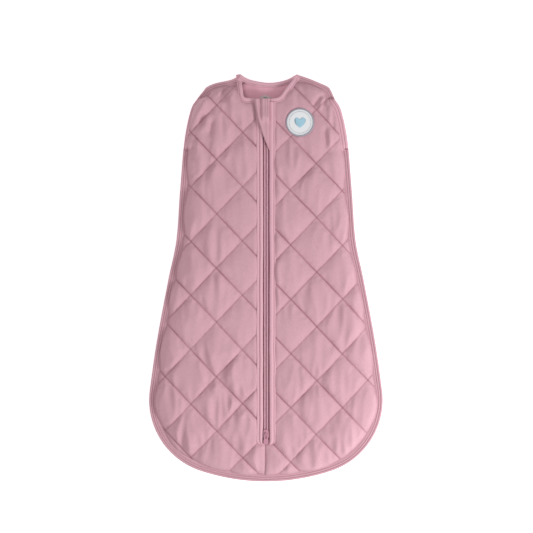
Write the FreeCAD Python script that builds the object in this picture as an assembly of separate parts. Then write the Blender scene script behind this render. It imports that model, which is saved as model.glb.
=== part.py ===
import FreeCAD, Part
import math
import os

# Baby sleeping bag lying flat on its back, front up. Millimetres.
# X runs across the bag, +Y points to the neck, +Z up from the surface it lies on.
# Origin: centre of the bag's footprint, on that surface.

V = FreeCAD.Vector

# ---------------------------------------------------------------- bag outline
LENGTH = 652.0
HALF_WIDTH = 186.4
WIDEST_Y = -188.0
HEM_Y = -LENGTH / 2
NECK_Y = LENGTH / 2
HEM_CORNER_R = 130.0
NECK_LEFT_X = -40.8
NECK_RIGHT_X = 49.6
# Right edge from the widest place up to the shoulder, as (half width, height).
SIDE = [
    (HALF_WIDTH, WIDEST_Y),
    (173.5, -100.0),
    (156.5, -4.0),
    (143.0, 60.0),
    (137.5, 140.0),
    (130.4, 220.0),
    (118.5, 268.0),
    (101.6, 298.0),
    (80.0, 314.0),
]

# ------------------------------------------------------- layers, from the floor
SHELL_T = 1.0
WADDING_T = 4.0
LINING_T = 1.0
CAVITY_T = 8.0
BACK_TOP = SHELL_T + WADDING_T
BACK_LINING_TOP = BACK_TOP + LINING_T
FRONT_LINING_Z = BACK_LINING_TOP + CAVITY_T
FRONT_WADDING_Z = FRONT_LINING_Z + LINING_T
FRONT_SHELL_Z = FRONT_WADDING_Z + WADDING_T
FRONT_TOP = FRONT_SHELL_Z + SHELL_T

# The front layers slope down to the back layer near the edge: inset at the foot, inset at the top.
BAND_W = 8.0
SHELL_OUT = (BAND_W, 17.0)
SHELL_IN = (9.2, 18.0)
WADDING_IN = (12.0, 20.2)
LINING_IN = (13.2, 21.2)
BACK_LINING_INSET = 14.2

# ------------------------------------------------------------- bands at the edge
BAND_Z = (1.2, 4.8)
ARMHOLE_LOW_Y = 190.0
ARMHOLE_HIGH_Y = 290.0
BACK_BINDING_Z = (1.2, 3.6)
FRONT_BINDING_Z = (5.2, 7.6)
FRONT_BINDING_INSET = 0.8

# ----------------------------------------------------------------------- neck
BINDING_W = 7.0
NECK_TOP = NECK_Y + 20.0
FRONT_NECK_Y = 286.0
FRONT_NECK_LEFT_X = -36.0
FRONT_NECK_RIGHT_X = 21.5
FRONT_NECK_LEFT_R = 5.0
FRONT_NECK_RIGHT_R = 16.0
BACK_NECK_DIP = 13.5
BACK_BINDING_LIP = 0.4

# --------------------------------------------------------------------- zip
SLOT_HALF = 10.4
SLOT_END_Y = -268.0
CHAIN_GAP = 0.5
COIL_W = 2.7
COIL_T = 2.2
TAPE_Z = (14.9, 15.7)
TAPE_HALF = SLOT_HALF - 0.2
TAPE_END_Y = SLOT_END_Y + 2.0
CHAIN_END_Y = -258.0
CHAIN_TOP_Y = 281.0
FACING_X = 5.2
FACING_Z = (15.9, 19.5)
BINDING_LOW_Y = FRONT_NECK_Y - BINDING_W - 1.0
GUARD_Z = (12.0, 13.0)
GUARD_HALF = 12.0
STOP_LEN = 3.6
COIL_TOP = TAPE_Z[1] + COIL_T

# ------------------------------------------------------------------- sliders
SLIDER_LEN = 14.0
SLIDER_HALF = 4.6
SLIDER_TAIL_HALF = 4.1
PLATE_T = 1.1
BOTTOM_PLATE_Z = 13.6
TOP_PLATE_Z = COIL_TOP + 0.3
PLATE_TOP = TOP_PLATE_Z + PLATE_T
FLANGE_T = 0.9
FLANGE_FOOT_Z = TAPE_Z[1] + 0.3
WEB_HALF = 0.3
CROWN_HALF = 0.9
CROWN_REACH = 3.1
CROWN_POST = 1.2
CROWN_HOLE = 1.6
CROWN_BAR = 0.7
PIVOT_R = 0.6
PIVOT_Z = PLATE_TOP + 0.8
PULL_LEN = 16.4
PULL_ARM_IN = 1.3
PULL_ARM_OUT = 3.1
PULL_TAB_HALF = 4.0
PULL_TAB_LEN = 8.4
LOWER_SLIDER_Y = -249.5
UPPER_SLIDER_Y = 273.0

# ------------------------------------------------------------------ chin flap
FLAP_Z = (24.0, 25.4)
FLAP_HINGE_X = 6.0
FLAP_TIP = (4.4, 202.0)
FLAP_TOP_Y = 285.0
FLAP_LEFT = [(-18.0, 285.0), (-15.6, 263.0), (-9.2, 237.0), (-2.0, 216.0)]
FLAP_RIB_X = (5.3, 7.3)

# -------------------------------------------------------- patch, label, snaps
PATCH_XY = (54.2, 247.0)
PATCH_R = 22.5
PATCH_T = 1.0
PATCH_EDGE_R = 0.8
HEART_W = 17.0
LABEL_XY = (-1.0, 280.5)
LABEL_R = 12.0
LABEL_T = 0.3
SNAP_YS = (262.0, 218.0)
SNAP_INSET = 4.4
SNAP_R = 3.2
SNAP_POST_R = 1.2
SNAP_HOLE_R = 1.35
SNAP_BASE_T = 0.5
SNAP_SOCKET_T = 0.9

FAR = 400.0


# ------------------------------------------------------------------- helpers
def box(x, y, z):
    """A box from three (low, high) pairs."""
    shape = Part.makeBox(x[1] - x[0], y[1] - y[0], z[1] - z[0])
    shape.translate(V(x[0], y[0], z[0]))
    return shape


def prism(wire, z):
    """A flat wire at height 0, filled and drawn up between two heights."""
    solid = Part.Face(wire).extrude(V(0, 0, z[1] - z[0]))
    solid.translate(V(0, 0, z[0]))
    return solid


def poly_wire(points):
    """A closed wire of straight edges."""
    corners = [V(x, y, 0) for x, y in points]
    return Part.makePolygon(corners + corners[:1])


def disc(radius, centre, z):
    """An upright disc between two heights."""
    return Part.makeCylinder(radius, z[1] - z[0], V(centre[0], centre[1], z[0]))


def side_curve(neck_x, sign, inset):
    """The spline up one side to the neck point, moved inward by inset."""
    points = [V(sign * x, y, 0) for x, y in SIDE] + [V(neck_x, NECK_Y, 0)]
    full = Part.BSplineCurve()
    full.interpolate(points)
    moved = []
    for point in points:
        ahead = full.tangent(full.parameter(point))[0]
        inward = V(-sign * ahead.y, sign * ahead.x, 0)
        moved.append(point + inward * inset)
    moved[0] = V(sign * (HALF_WIDTH - inset), WIDEST_Y, 0)
    curve = Part.BSplineCurve()
    curve.interpolate(moved)
    return curve


def hem_arcs(inset):
    """The three arcs round the hem: left corner, bottom, right corner."""
    corner_x = HALF_WIDTH - HEM_CORNER_R
    drop = WIDEST_Y - HEM_Y
    reach = HEM_CORNER_R**2 - corner_x**2 - drop**2
    bottom_r = reach / (2 * HEM_CORNER_R - 2 * drop)
    bottom_c = HEM_Y + bottom_r
    turn = math.atan2(corner_x, bottom_c - WIDEST_Y)
    arcs = []
    for centre, radius, start, end in (
        (V(-corner_x, WIDEST_Y, 0), HEM_CORNER_R - inset, math.pi, 1.5 * math.pi - turn),
        (V(0, bottom_c, 0), bottom_r - inset, 1.5 * math.pi - turn, 1.5 * math.pi + turn),
        (V(corner_x, WIDEST_Y, 0), HEM_CORNER_R - inset, 1.5 * math.pi + turn, 2 * math.pi),
    ):
        circle = Part.Circle(centre, V(0, 0, 1), radius)
        arcs.append(Part.ArcOfCircle(circle, start, end).toShape())
    return arcs


def outline(inset):
    """The bag's closed outline moved inward by inset, straight across the neck."""
    right = side_curve(NECK_RIGHT_X, 1, inset)
    left = side_curve(NECK_LEFT_X, -1, inset)
    across = Part.LineSegment(right.EndPoint, left.EndPoint)
    edges = hem_arcs(inset) + [right.toShape(), across.toShape(), left.toShape()]
    return Part.Wire(Part.__sortEdges__(edges))


def at_height(wire, z):
    """A copy of a flat wire at a height."""
    copy = wire.copy()
    copy.translate(V(0, 0, z))
    return copy


def dome(insets, top):
    """The space under a front layer: outline insets at the foot and at the top."""
    foot = at_height(outline(insets[0]), BACK_TOP)
    head = at_height(outline(insets[1]), top)
    return Part.makeLoft([foot, head], True, True)


def rounded_path(points, radii):
    """Open path through points, with an arc of the given radius at each inner point."""
    edges = []
    start = V(*points[0], 0)
    for before, here, after, radius in zip(points, points[1:], points[2:], radii):
        corner = V(*here, 0)
        back = (V(*before, 0) - corner).normalize()
        ahead = (V(*after, 0) - corner).normalize()
        half = back.getAngle(ahead) / 2
        trim = radius / math.tan(half)
        middle = (back + ahead).normalize() * (radius / math.sin(half) - radius)
        arc = Part.Arc(corner + back * trim, corner + middle, corner + ahead * trim)
        edges.append(Part.LineSegment(start, corner + back * trim).toShape())
        edges.append(arc.toShape())
        start = corner + ahead * trim
    edges.append(Part.LineSegment(start, V(*points[-1], 0)).toShape())
    return edges


def lid_edges(left, right):
    """Edges that close a neck hole above its lower edge."""
    top_left = V(left.x, NECK_TOP, 0)
    top_right = V(right.x, NECK_TOP, 0)
    corners = [right, top_right, top_left, left]
    return [Part.LineSegment(a, b).toShape() for a, b in zip(corners, corners[1:])]


def front_neck_hole(grow):
    """Wire round the open space above the front neckline, grown by the binding's width."""
    path = rounded_path(
        [
            (NECK_LEFT_X, NECK_Y),
            (FRONT_NECK_LEFT_X, FRONT_NECK_Y),
            (FRONT_NECK_RIGHT_X, FRONT_NECK_Y),
            (NECK_RIGHT_X, NECK_Y),
        ],
        (FRONT_NECK_LEFT_R, FRONT_NECK_RIGHT_R),
    )
    lid = lid_edges(V(NECK_LEFT_X, NECK_Y, 0), V(NECK_RIGHT_X, NECK_Y, 0))
    wire = Part.Wire(Part.__sortEdges__(path + lid))
    return wire.makeOffset2D(grow) if grow else wire


def back_neck_hole(grow):
    """Wire round the open space above the back neckline, grown by the binding's width."""
    left = V(NECK_LEFT_X, NECK_Y, 0)
    right = V(NECK_RIGHT_X, NECK_Y, 0)
    dip = V((NECK_LEFT_X + NECK_RIGHT_X) / 2, NECK_Y - BACK_NECK_DIP, 0)
    curve = Part.Arc(left, dip, right).toShape()
    wire = Part.Wire(Part.__sortEdges__([curve] + lid_edges(left, right)))
    return wire.makeOffset2D(grow) if grow else wire


def half_mask(sign):
    """Space of one front half, clear of the zip slot."""
    side = box(sorted((0, sign * FAR)), (-FAR, FAR), (-1, FAR))
    slot = box((-SLOT_HALF, SLOT_HALF), (SLOT_END_Y, FAR), (-2, FAR))
    return side.cut(slot)


def ring_between(outer, inner, z):
    """Flat ring between two insets of the outline, open at the neck."""
    ring = prism(outline(outer), z).cut(prism(outline(inner), z))
    gap = prism(back_neck_hole(0), (z[0] - 1, z[1] + 1))
    return ring.cut(gap)


def mirrored(shape):
    """The shape reflected to the other side of the bag."""
    return shape.mirror(V(0, 0, 0), V(1, 0, 0))


# ---------------------------------------------------------------- soft layers
def back_layer(inset, z):
    """One flat layer of the back panel."""
    hole = prism(back_neck_hole(BINDING_W), (z[0] - 1, z[1] + 1))
    return prism(outline(inset), z).cut(hole)


def front_layers():
    """Shell, wadding and lining of both front halves."""
    outer = dome(SHELL_OUT, FRONT_TOP)
    under_shell = dome(SHELL_IN, FRONT_SHELL_Z)
    under_wadding = dome(WADDING_IN, FRONT_WADDING_Z)
    under_lining = dome(LINING_IN, FRONT_LINING_Z)
    neck = prism(front_neck_hole(BINDING_W), (-1, FAR))
    layers = {
        "shell": outer.cut(under_shell),
        "wadding": under_shell.cut(under_wadding),
        "lining": under_wadding.cut(under_lining),
    }
    parts = {}
    for side, sign in (("left", -1), ("right", 1)):
        for layer, shape in layers.items():
            parts[f"front_{side}_{layer}"] = shape.cut(neck).common(half_mask(sign))
    return parts


def neck_bindings():
    """Bindings that fold over the raw edges of the neck."""
    strip = prism(front_neck_hole(BINDING_W), (0, FAR)).cut(prism(front_neck_hole(0), (-1, FAR)))
    body = dome(SHELL_OUT, FRONT_TOP).cut(dome(LINING_IN, FRONT_LINING_Z))
    band = strip.common(body)
    hole = prism(back_neck_hole(0), (-1, FAR))
    back_strip = prism(back_neck_hole(BINDING_W), (0, FAR)).cut(hole)
    low = back_strip.common(prism(outline(BAND_W), (BACK_BINDING_LIP, BACK_TOP)))
    lip = (BACK_TOP, BACK_LINING_TOP + BACK_BINDING_LIP)
    high = back_strip.common(prism(outline(BACK_LINING_INSET), lip))
    return {
        "neck_binding_left": band.common(box((-FAR, -FACING_X), (0, FAR), (0, FAR))),
        "neck_binding_right": band.common(box((FACING_X, FAR), (0, FAR), (0, FAR))),
        "neck_binding_back": low.fuse(high).removeSplitter(),
    }


def edge_bands():
    """Stitched band round the hem and sides, shoulder seams and armhole bindings."""
    ring = ring_between(0, BAND_W, BAND_Z)
    back_ring = ring_between(0, BAND_W, BACK_BINDING_Z)
    front_ring = ring_between(FRONT_BINDING_INSET, BAND_W, FRONT_BINDING_Z)
    armhole_y = (ARMHOLE_LOW_Y, ARMHOLE_HIGH_Y)
    parts = {"hem_band": ring.common(box((-FAR, FAR), (-FAR, ARMHOLE_LOW_Y), (0, FAR)))}
    for side, x in (("left", (-FAR, 0)), ("right", (0, FAR))):
        zone = box(x, armhole_y, (0, FAR))
        top = box(x, (ARMHOLE_HIGH_Y, FAR), (0, FAR))
        parts[f"shoulder_seam_{side}"] = ring.common(top)
        parts[f"armhole_binding_{side}_back"] = back_ring.common(zone)
        parts[f"armhole_binding_{side}_front"] = front_ring.common(zone)
    return parts


# --------------------------------------------------------------------- zip
def zip_tapes():
    """The two woven tapes, narrower where the neck binding covers their ends."""
    wide = box((CHAIN_GAP, TAPE_HALF), (TAPE_END_Y, BINDING_LOW_Y), TAPE_Z)
    narrow = box((CHAIN_GAP, FACING_X - 0.2), (BINDING_LOW_Y, FRONT_NECK_Y - 1), TAPE_Z)
    tape = wide.fuse(narrow).removeSplitter()
    return {"zip_tape_right": tape, "zip_tape_left": mirrored(tape)}


def zip_coils():
    """The two rows of coil, each a bar with a rounded outer shoulder."""
    bar = box(
        (CHAIN_GAP, CHAIN_GAP + COIL_W),
        (CHAIN_END_Y, CHAIN_TOP_Y),
        (TAPE_Z[1], COIL_TOP),
    )
    shoulder = [
        edge
        for edge in bar.Edges
        if abs(edge.CenterOfMass.x - CHAIN_GAP - COIL_W) < 0.01
        and abs(edge.CenterOfMass.z - COIL_TOP) < 0.01
    ]
    coil = bar.makeFillet(1.0, shoulder)
    return {"zip_coil_right": coil, "zip_coil_left": mirrored(coil)}


def zip_stops():
    """Stops that keep the sliders on the chain."""
    x = (CHAIN_GAP, CHAIN_GAP + COIL_W)
    top = box(x, (CHAIN_TOP_Y, CHAIN_TOP_Y + 2.4), (TAPE_Z[1], COIL_TOP - 0.2))
    wide = (-CHAIN_GAP - COIL_W, CHAIN_GAP + COIL_W)
    bottom = box(wide, (CHAIN_END_Y - STOP_LEN, CHAIN_END_Y), (TAPE_Z[1], COIL_TOP - 0.2))
    rounded = bottom.makeFillet(0.5, [e for e in bottom.Edges if e.CenterOfMass.z > COIL_TOP - 0.3])
    return {
        "zip_top_stops": Part.makeCompound([top, mirrored(top)]),
        "zip_bottom_stop": rounded,
    }


def zip_facings():
    """Stitched fabric edges each side of the chain; the right one carries the flap."""
    y = (SLOT_END_Y, BINDING_LOW_Y)
    facing = box((FACING_X, SLOT_HALF), y, FACING_Z)
    top_edges = [
        edge
        for edge in facing.Edges
        if edge.Length > SLIDER_LEN and abs(edge.CenterOfMass.z - FACING_Z[1]) < 0.01
    ]
    facing = facing.makeFillet(1.2, top_edges)
    rib_y = (FLAP_TIP[1] + 3, BINDING_LOW_Y)
    rib = box(FLAP_RIB_X, rib_y, (FACING_Z[1] - 1.5, FLAP_Z[0] - 0.3))
    return {
        "zip_facing_left": mirrored(facing),
        "zip_facing_right": facing.fuse(rib).removeSplitter(),
    }


def zip_guard():
    """Soft strip behind the chain, sewn in along its right edge."""
    strip = box((-GUARD_HALF, GUARD_HALF), (SLOT_END_Y, FRONT_NECK_Y - 2), GUARD_Z)
    seam = (SLOT_END_Y + 2, BINDING_LOW_Y - 2)
    hem = box((SLOT_HALF, GUARD_HALF), seam, (GUARD_Z[1], FRONT_LINING_Z))
    return strip.fuse(hem).removeSplitter()


def chin_flap():
    """Tapered fabric flap over the upper slider, folded at its right edge."""
    top_right = V(FLAP_HINGE_X, FLAP_TOP_Y, 0)
    tip = V(FLAP_TIP[0], FLAP_TIP[1], 0)
    left = [V(x, y, 0) for x, y in FLAP_LEFT] + [tip]
    curve = Part.BSplineCurve()
    curve.interpolate(left)
    hinge_foot = V(FLAP_HINGE_X, FLAP_TIP[1], 0)
    edges = [
        curve.toShape(),
        Part.LineSegment(tip, hinge_foot).toShape(),
        Part.LineSegment(hinge_foot, top_right).toShape(),
        Part.LineSegment(top_right, left[0]).toShape(),
    ]
    return prism(Part.Wire(Part.__sortEdges__(edges)), FLAP_Z)


# ------------------------------------------------------------------- sliders
def slider_plan(z, widen=0.0):
    """Plan of the slider's plates: broad shoulders, narrower tail, clipped corners."""
    half = SLIDER_LEN / 2
    right = [
        (SLIDER_TAIL_HALF - 1.2, -half),
        (SLIDER_TAIL_HALF, -half + 1.4),
        (SLIDER_HALF + widen, 0.5),
        (SLIDER_HALF + widen, half - 2.2),
        (SLIDER_HALF - 1.6, half),
    ]
    return prism(poly_wire(right + [(-x, y) for x, y in reversed(right)]), z)


def slider_body():
    """Slider about its own centre, shoulders towards +Y: plates, flanges, web and crown."""
    half = SLIDER_LEN / 2
    bottom = slider_plan((BOTTOM_PLATE_Z, BOTTOM_PLATE_Z + PLATE_T - 0.1))
    top = slider_plan((FLANGE_FOOT_Z, PLATE_TOP))
    inner = SLIDER_HALF - FLANGE_T
    channel = box((-inner, inner), (-half - 1, half + 1), (FLANGE_FOOT_Z - 1, TOP_PLATE_Z))
    web_z = (BOTTOM_PLATE_Z, TOP_PLATE_Z + 0.1)
    web = box((-WEB_HALF, WEB_HALF), (1.0, half - 0.6), web_z)
    crown_top = PLATE_TOP + CROWN_HOLE + CROWN_BAR
    reach = (-CROWN_REACH, CROWN_REACH)
    crown = box((-CROWN_HALF, CROWN_HALF), reach, (PLATE_TOP - 0.2, crown_top))
    rounding = [
        edge
        for edge in crown.Edges
        if abs(edge.CenterOfMass.z - crown_top) < 0.01
        and abs(abs(edge.CenterOfMass.y) - CROWN_REACH) < 0.01
    ]
    crown = crown.makeFillet(1.0, rounding)
    hole_y = CROWN_REACH - CROWN_POST
    hole = box((-1, 1), (-hole_y, hole_y), (PLATE_TOP, PLATE_TOP + CROWN_HOLE))
    body = top.cut(channel).fuse([bottom, web, crown.cut(hole)])
    return body.removeSplitter()


def slider_pull():
    """Pull about its pivot, lying along -Y: pivot bar, two arms and a rounded tab."""
    bar = Part.makeCylinder(PIVOT_R, 2 * PULL_ARM_OUT, V(-PULL_ARM_OUT, 0, PIVOT_Z), V(1, 0, 0))
    z = (PIVOT_Z - PIVOT_R, PIVOT_Z + PIVOT_R)
    tab_y = -PULL_LEN + PULL_TAB_LEN
    arm = box((PULL_ARM_IN, PULL_ARM_OUT), (tab_y + 1.0, 0), z)
    tab = prism(
        poly_wire(
            [
                (-PULL_ARM_OUT, tab_y + 1.0),
                (PULL_ARM_OUT, tab_y + 1.0),
                (PULL_TAB_HALF, tab_y - 1.5),
                (PULL_TAB_HALF, -PULL_LEN),
                (-PULL_TAB_HALF, -PULL_LEN),
                (-PULL_TAB_HALF, tab_y - 1.5),
            ]
        ),
        z,
    )
    ends = [e for e in tab.Edges if e.Length < 1.3 and e.CenterOfMass.y < -PULL_LEN + 0.1]
    tab = tab.makeFillet(2.0, ends)
    return bar.fuse([arm, mirrored(arm), tab]).removeSplitter()


def sliders():
    """Upper slider, shoulders up, and lower slider, shoulders down; both pulls hang down."""
    parts = {}
    for name, y, turn in (("upper", UPPER_SLIDER_Y, 0), ("lower", LOWER_SLIDER_Y, 180)):
        body = slider_body()
        body.rotate(V(0, 0, 0), V(0, 0, 1), turn)
        body.translate(V(0, y, 0))
        pull = slider_pull()
        pull.translate(V(0, y, 0))
        parts[f"{name}_slider_body"] = body
        parts[f"{name}_slider_pull"] = pull
    return parts


# ------------------------------------------------------- patch, label, snaps
def heart(width, centre, z):
    """A plain heart: two lobes over a point."""
    lobe = width / 4
    drop = width * 0.58
    left = [V(-2 * lobe, 0, 0), V(-lobe, lobe, 0), V(0, 0, 0)]
    right = [V(0, 0, 0), V(lobe, lobe, 0), V(2 * lobe, 0, 0)]
    flank = width * 0.33
    edges = [
        Part.Arc(*left).toShape(),
        Part.Arc(*right).toShape(),
        Part.Arc(V(2 * lobe, 0, 0), V(flank, -drop * 0.52, 0), V(0, -drop, 0)).toShape(),
        Part.Arc(V(0, -drop, 0), V(-flank, -drop * 0.52, 0), V(-2 * lobe, 0, 0)).toShape(),
    ]
    solid = prism(Part.Wire(Part.__sortEdges__(edges)), z)
    solid.translate(V(centre[0], centre[1] + drop * 0.3, 0))
    return solid


def badges():
    """Round chest patch with its stitched rim and heart, and the printed neck label."""
    z = (FRONT_TOP, FRONT_TOP + PATCH_T)
    rim_z = FRONT_TOP + PATCH_EDGE_R
    rim_at = V(PATCH_XY[0], PATCH_XY[1], rim_z)
    rim = Part.makeTorus(PATCH_R - PATCH_EDGE_R, PATCH_EDGE_R, rim_at)
    base = disc(PATCH_R - 2 * PATCH_EDGE_R, PATCH_XY, z)
    label_z = (BACK_LINING_TOP, BACK_LINING_TOP + LABEL_T)
    return {
        "patch_base": base,
        "patch_rim": rim,
        "patch_heart": heart(HEART_W, PATCH_XY, (z[1], z[1] + 0.5)),
        "neck_label": disc(LABEL_R, LABEL_XY, label_z),
    }


def snap_places():
    """Centres of the armhole snaps on both sides, on a line inset from the edge."""
    places = []
    for neck_x, sign in ((NECK_LEFT_X, -1), (NECK_RIGHT_X, 1)):
        curve = side_curve(neck_x, sign, SNAP_INSET)
        for y in SNAP_YS:
            line = Part.LineSegment(V(sign * 60, y, 0), V(sign * HALF_WIDTH, y, 0))
            hit = curve.intersect(line)[0]
            places.append((hit.X, hit.Y))
    return places


def snaps():
    """Press studs between the two bindings of each armhole."""
    studs = []
    sockets = []
    low = BACK_BINDING_Z[1]
    high = FRONT_BINDING_Z[0]
    for place in snap_places():
        base = disc(SNAP_R, place, (low, low + SNAP_BASE_T))
        post = disc(SNAP_POST_R, place, (low, high - 0.2))
        studs.append(base.fuse(post).removeSplitter())
        ring = disc(SNAP_R, place, (high - SNAP_SOCKET_T, high))
        sockets.append(ring.cut(disc(SNAP_HOLE_R, place, (low, high + 1))))
    return {
        "snap_studs": Part.makeCompound(studs),
        "snap_sockets": Part.makeCompound(sockets),
    }


# ------------------------------------------------------------------ the parts
def all_parts():
    """Every node of the bag by name."""
    parts = {
        "back_shell": back_layer(BAND_W, (0, SHELL_T)),
        "back_wadding": back_layer(BAND_W, (SHELL_T, BACK_TOP)),
        "back_lining": back_layer(BACK_LINING_INSET, (BACK_TOP, BACK_LINING_TOP)),
        "zip_guard": zip_guard(),
        "chin_flap": chin_flap(),
    }
    for group in (
        front_layers,
        neck_bindings,
        edge_bands,
        zip_tapes,
        zip_coils,
        zip_stops,
        zip_facings,
        sliders,
        badges,
        snaps,
    ):
        parts.update(group())
    return parts


os.makedirs("parts", exist_ok=True)
for name, shape in all_parts().items():
    if not shape.isValid() or not shape.Solids:
        raise ValueError(f"{name} is not a valid solid")
    shape.exportStep(f"parts/{name}.step")
    print(f"{name}: {len(shape.Solids)} solid(s), {shape.Volume / 1000:.2f} cm3")
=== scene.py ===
import math

import bmesh
import bpy
import numpy as np
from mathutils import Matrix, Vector, noise


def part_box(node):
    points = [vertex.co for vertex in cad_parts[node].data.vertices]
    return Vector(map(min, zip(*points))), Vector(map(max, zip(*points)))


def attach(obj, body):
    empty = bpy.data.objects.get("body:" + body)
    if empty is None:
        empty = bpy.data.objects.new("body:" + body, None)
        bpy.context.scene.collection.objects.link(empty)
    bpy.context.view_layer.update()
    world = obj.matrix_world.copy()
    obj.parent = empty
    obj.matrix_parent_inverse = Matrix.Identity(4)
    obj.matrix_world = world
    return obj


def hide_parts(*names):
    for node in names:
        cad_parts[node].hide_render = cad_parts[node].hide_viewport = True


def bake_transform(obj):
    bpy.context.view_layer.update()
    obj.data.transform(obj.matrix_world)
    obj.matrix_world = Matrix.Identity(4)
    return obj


# Baby sleeping bag laid flat, front up. Lengths in the shape code are millimetres in the
# frame's axes; they become metres when a mesh is made.

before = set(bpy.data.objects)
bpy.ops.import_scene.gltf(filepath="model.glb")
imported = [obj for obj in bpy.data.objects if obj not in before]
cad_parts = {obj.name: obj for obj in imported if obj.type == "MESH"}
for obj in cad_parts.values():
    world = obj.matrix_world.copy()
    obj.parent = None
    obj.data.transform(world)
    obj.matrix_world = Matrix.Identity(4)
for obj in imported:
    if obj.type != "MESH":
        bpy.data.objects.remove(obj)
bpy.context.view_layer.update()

MM = 0.001
SIM_SCALE = 10.0
WORD = {-1: "left", 1: "right"}

# ------------------------------------------------------------------ bag outline
HALF_WIDTH = 187.8
WIDEST_Y = -196.0
HEM_Y = -327.8
NECK_Y = 326.0
HEM_CORNER_R = 121.0
NECK_LEFT_X = -40.8
NECK_RIGHT_X = 49.6
SIDE = [
    (HALF_WIDTH, WIDEST_Y),
    (186, -176), (175, -100), (157, -4), (144, 60), (138, 140), (131, 220), (121, 268),
    (111, 286),
]
SHOULDER = {
    -1: [(101, 299), (95, 306), (81, 312), (55, 318)],
    1: [(105, 299), (100, 306), (87, 312), (70, 319)],
}
BAND_W = 9.4
ARMHOLE = (206.0, 288.0)
ARMHOLE_INSET = {-1: 3.4, 1: 10.6}
ARMHOLE_WIDTH = {-1: 0.5, 1: 1.25}

# --------------------------------------------------------------- heights above the floor
BACK_LINE_Z = 2.6
BACK_LINING_Z = 5.6
EDGE_Z = 3.9
ARMHOLE_LIFT = 2.9
FRONT_Z = 15.6
ROLL = 12.5

# ------------------------------------------------------------------- quilting
TUCK = 1.4
SLACK = 0.014
SIM_FRAMES = 24
DIAMOND = (41.3, 43.3)
LEFT_NODE = (-37.4, -28.4)
RIGHT_NODE = (39.2, -34.6)
BACK_NODE = (0.0, -30.0)
CELLS = 32
BUNCHING = 0.4
LINING_CELLS = 14
GRID_REACH = 560.0
SPACING = 2 * DIAMOND[0] * DIAMOND[1] / math.hypot(*DIAMOND)
EDGE_REACH = 12.4
COVER = 5.4
PILLOW = 3.6
PILLOW_FADE = 9.0
SOFTNESS = 0.6
LOFT = (1.3, 0.5)
LOFT_RUN = (1.9, 5.0)
FRONT_THIN = 1.0
FRONT_THICK = 2.0
SHEET_THICK = 0.5
QUILT_THREAD_R = 0.26
SEWING_THREAD_R = 0.3
BINDING_THREAD_R = 0.28

# ------------------------------------------------------------------------ neck
BINDING_W = 7.0
FRONT_NECK_Y = 286.0
FRONT_NECK_SAG = 2.2
FRONT_NECK_LEFT_X = -36.0
FRONT_NECK_RIGHT_X = 21.5
BACK_NECK_DIP = 13.5

# ------------------------------------------------------------------------- zip
CENTRE_SEAM_X = -1.6
SLOT_HALF = 11.2
SLOT_END_Y = -264.0
SLOT_SWELL = 1.1

# ---------------------------------------------------------------- loose folds
# Each runs from one point to another, with its half width and its height; hollows are negative.
CREASE = 4.1
FOLDS = [
    (-19.5, 283, -16.5, 244, 3.4, -3.2),
    (-54, 304, -56, 284, 3.2, 3.6),
    (-48, 306, -47, 286, 2.6, -2.8),
    (-53, 313, -77, 286, 3.6, -5.0),
    (-60, 286, -74, 284, 4.0, -3.6),
    (-96, 286, -112, 250, 6.5, 4.6),
    (-101, 262, -104, 244, 3.4, -3.4),
    (-93, 258, -96, 236, 3.6, 3.4),
    (-86, 250, -90, 226, 3.4, -3.6),
    (-108, 220, -110, 196, 3.8, 3.4),
    (-117, 214, -118, 190, 3.0, -3.0),
    (88, 291, 76, 274, 3.2, -4.2),
    (93, 288, 85, 268, 3.2, 3.4),
    (97, 292, 92, 276, 3.2, -3.6),
    (102, 276, 102, 250, 3.4, 3.4),
    (107, 274, 108, 240, 3.0, -4.6),
    (94, 236, 96, 208, 3.6, -4.0),
    (101, 238, 103, 208, 3.8, 3.4),
    (118, 240, 124, 206, 3.0, -4.0),
]

# ----------------------------------------------------------------- chest patch
PATCH_XY = (54.2, 247.0)
PATCH_Z = 20.0
PATCH_R = 22.3
PATCH_RIM = 1.8
PATCH_SINK = 0.25
PATCH_SLOPE = 0.4
MOTIF = 19.0
MOTIF_DEPTH = 0.58 * MOTIF
MOTIF_RISE = 2.7
SATIN_PITCH = 0.42
SATIN_RADIUS = 0.34
DASHES = 44
DASH_SHARE = 0.6
DASH_INSET = 5.0
WRAPS = 190
WRAP_LEAN = 0.028
WRAP_RADIUS = 0.4

RNG_SHIFT = Vector((17.3, 4.1, 9.7))


# ------------------------------------------------------------------ small helpers
def ripple(x, y, size, seed=0.0):
    """Smooth noise from -1 to 1 over the plane, with features of about size."""
    return noise.noise(Vector((x / size, y / size, seed)) + RNG_SHIFT)


def ripples(points, size, seed=0.0):
    """ripple() at each row of an array of points."""
    return np.array([ripple(p[0], p[1], size, seed) for p in points])


def ripples_along(y, size, seed):
    """ripple() at each place along the middle of the bag."""
    return np.array([ripple(0, v, size, seed) for v in y])


def smoothstep(t):
    """0 to 1 with flat ends, for arrays."""
    t = np.clip(t, 0, 1)
    return t * t * (3 - 2 * t)


def mesh_object(name, verts, faces):
    """A mesh object from millimetre points and faces."""
    mesh = bpy.data.meshes.new(name)
    mesh.from_pydata((np.asarray(verts, float) * MM).tolist(), [], [list(map(int, f)) for f in faces])
    mesh.update()
    obj = bpy.data.objects.new(name, mesh)
    bpy.context.scene.collection.objects.link(obj)
    mesh.shade_smooth()
    return obj


def resample(points, step):
    """Points a step apart along a path."""
    points = np.asarray(points, float)
    lengths = np.concatenate([[0], np.cumsum(np.linalg.norm(np.diff(points, axis=0), axis=1))])
    count = max(2, int(round(lengths[-1] / step)) + 1)
    at = np.linspace(0, lengths[-1], count)
    return np.stack([np.interp(at, lengths, points[:, k]) for k in range(points.shape[1])], axis=1)


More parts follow.
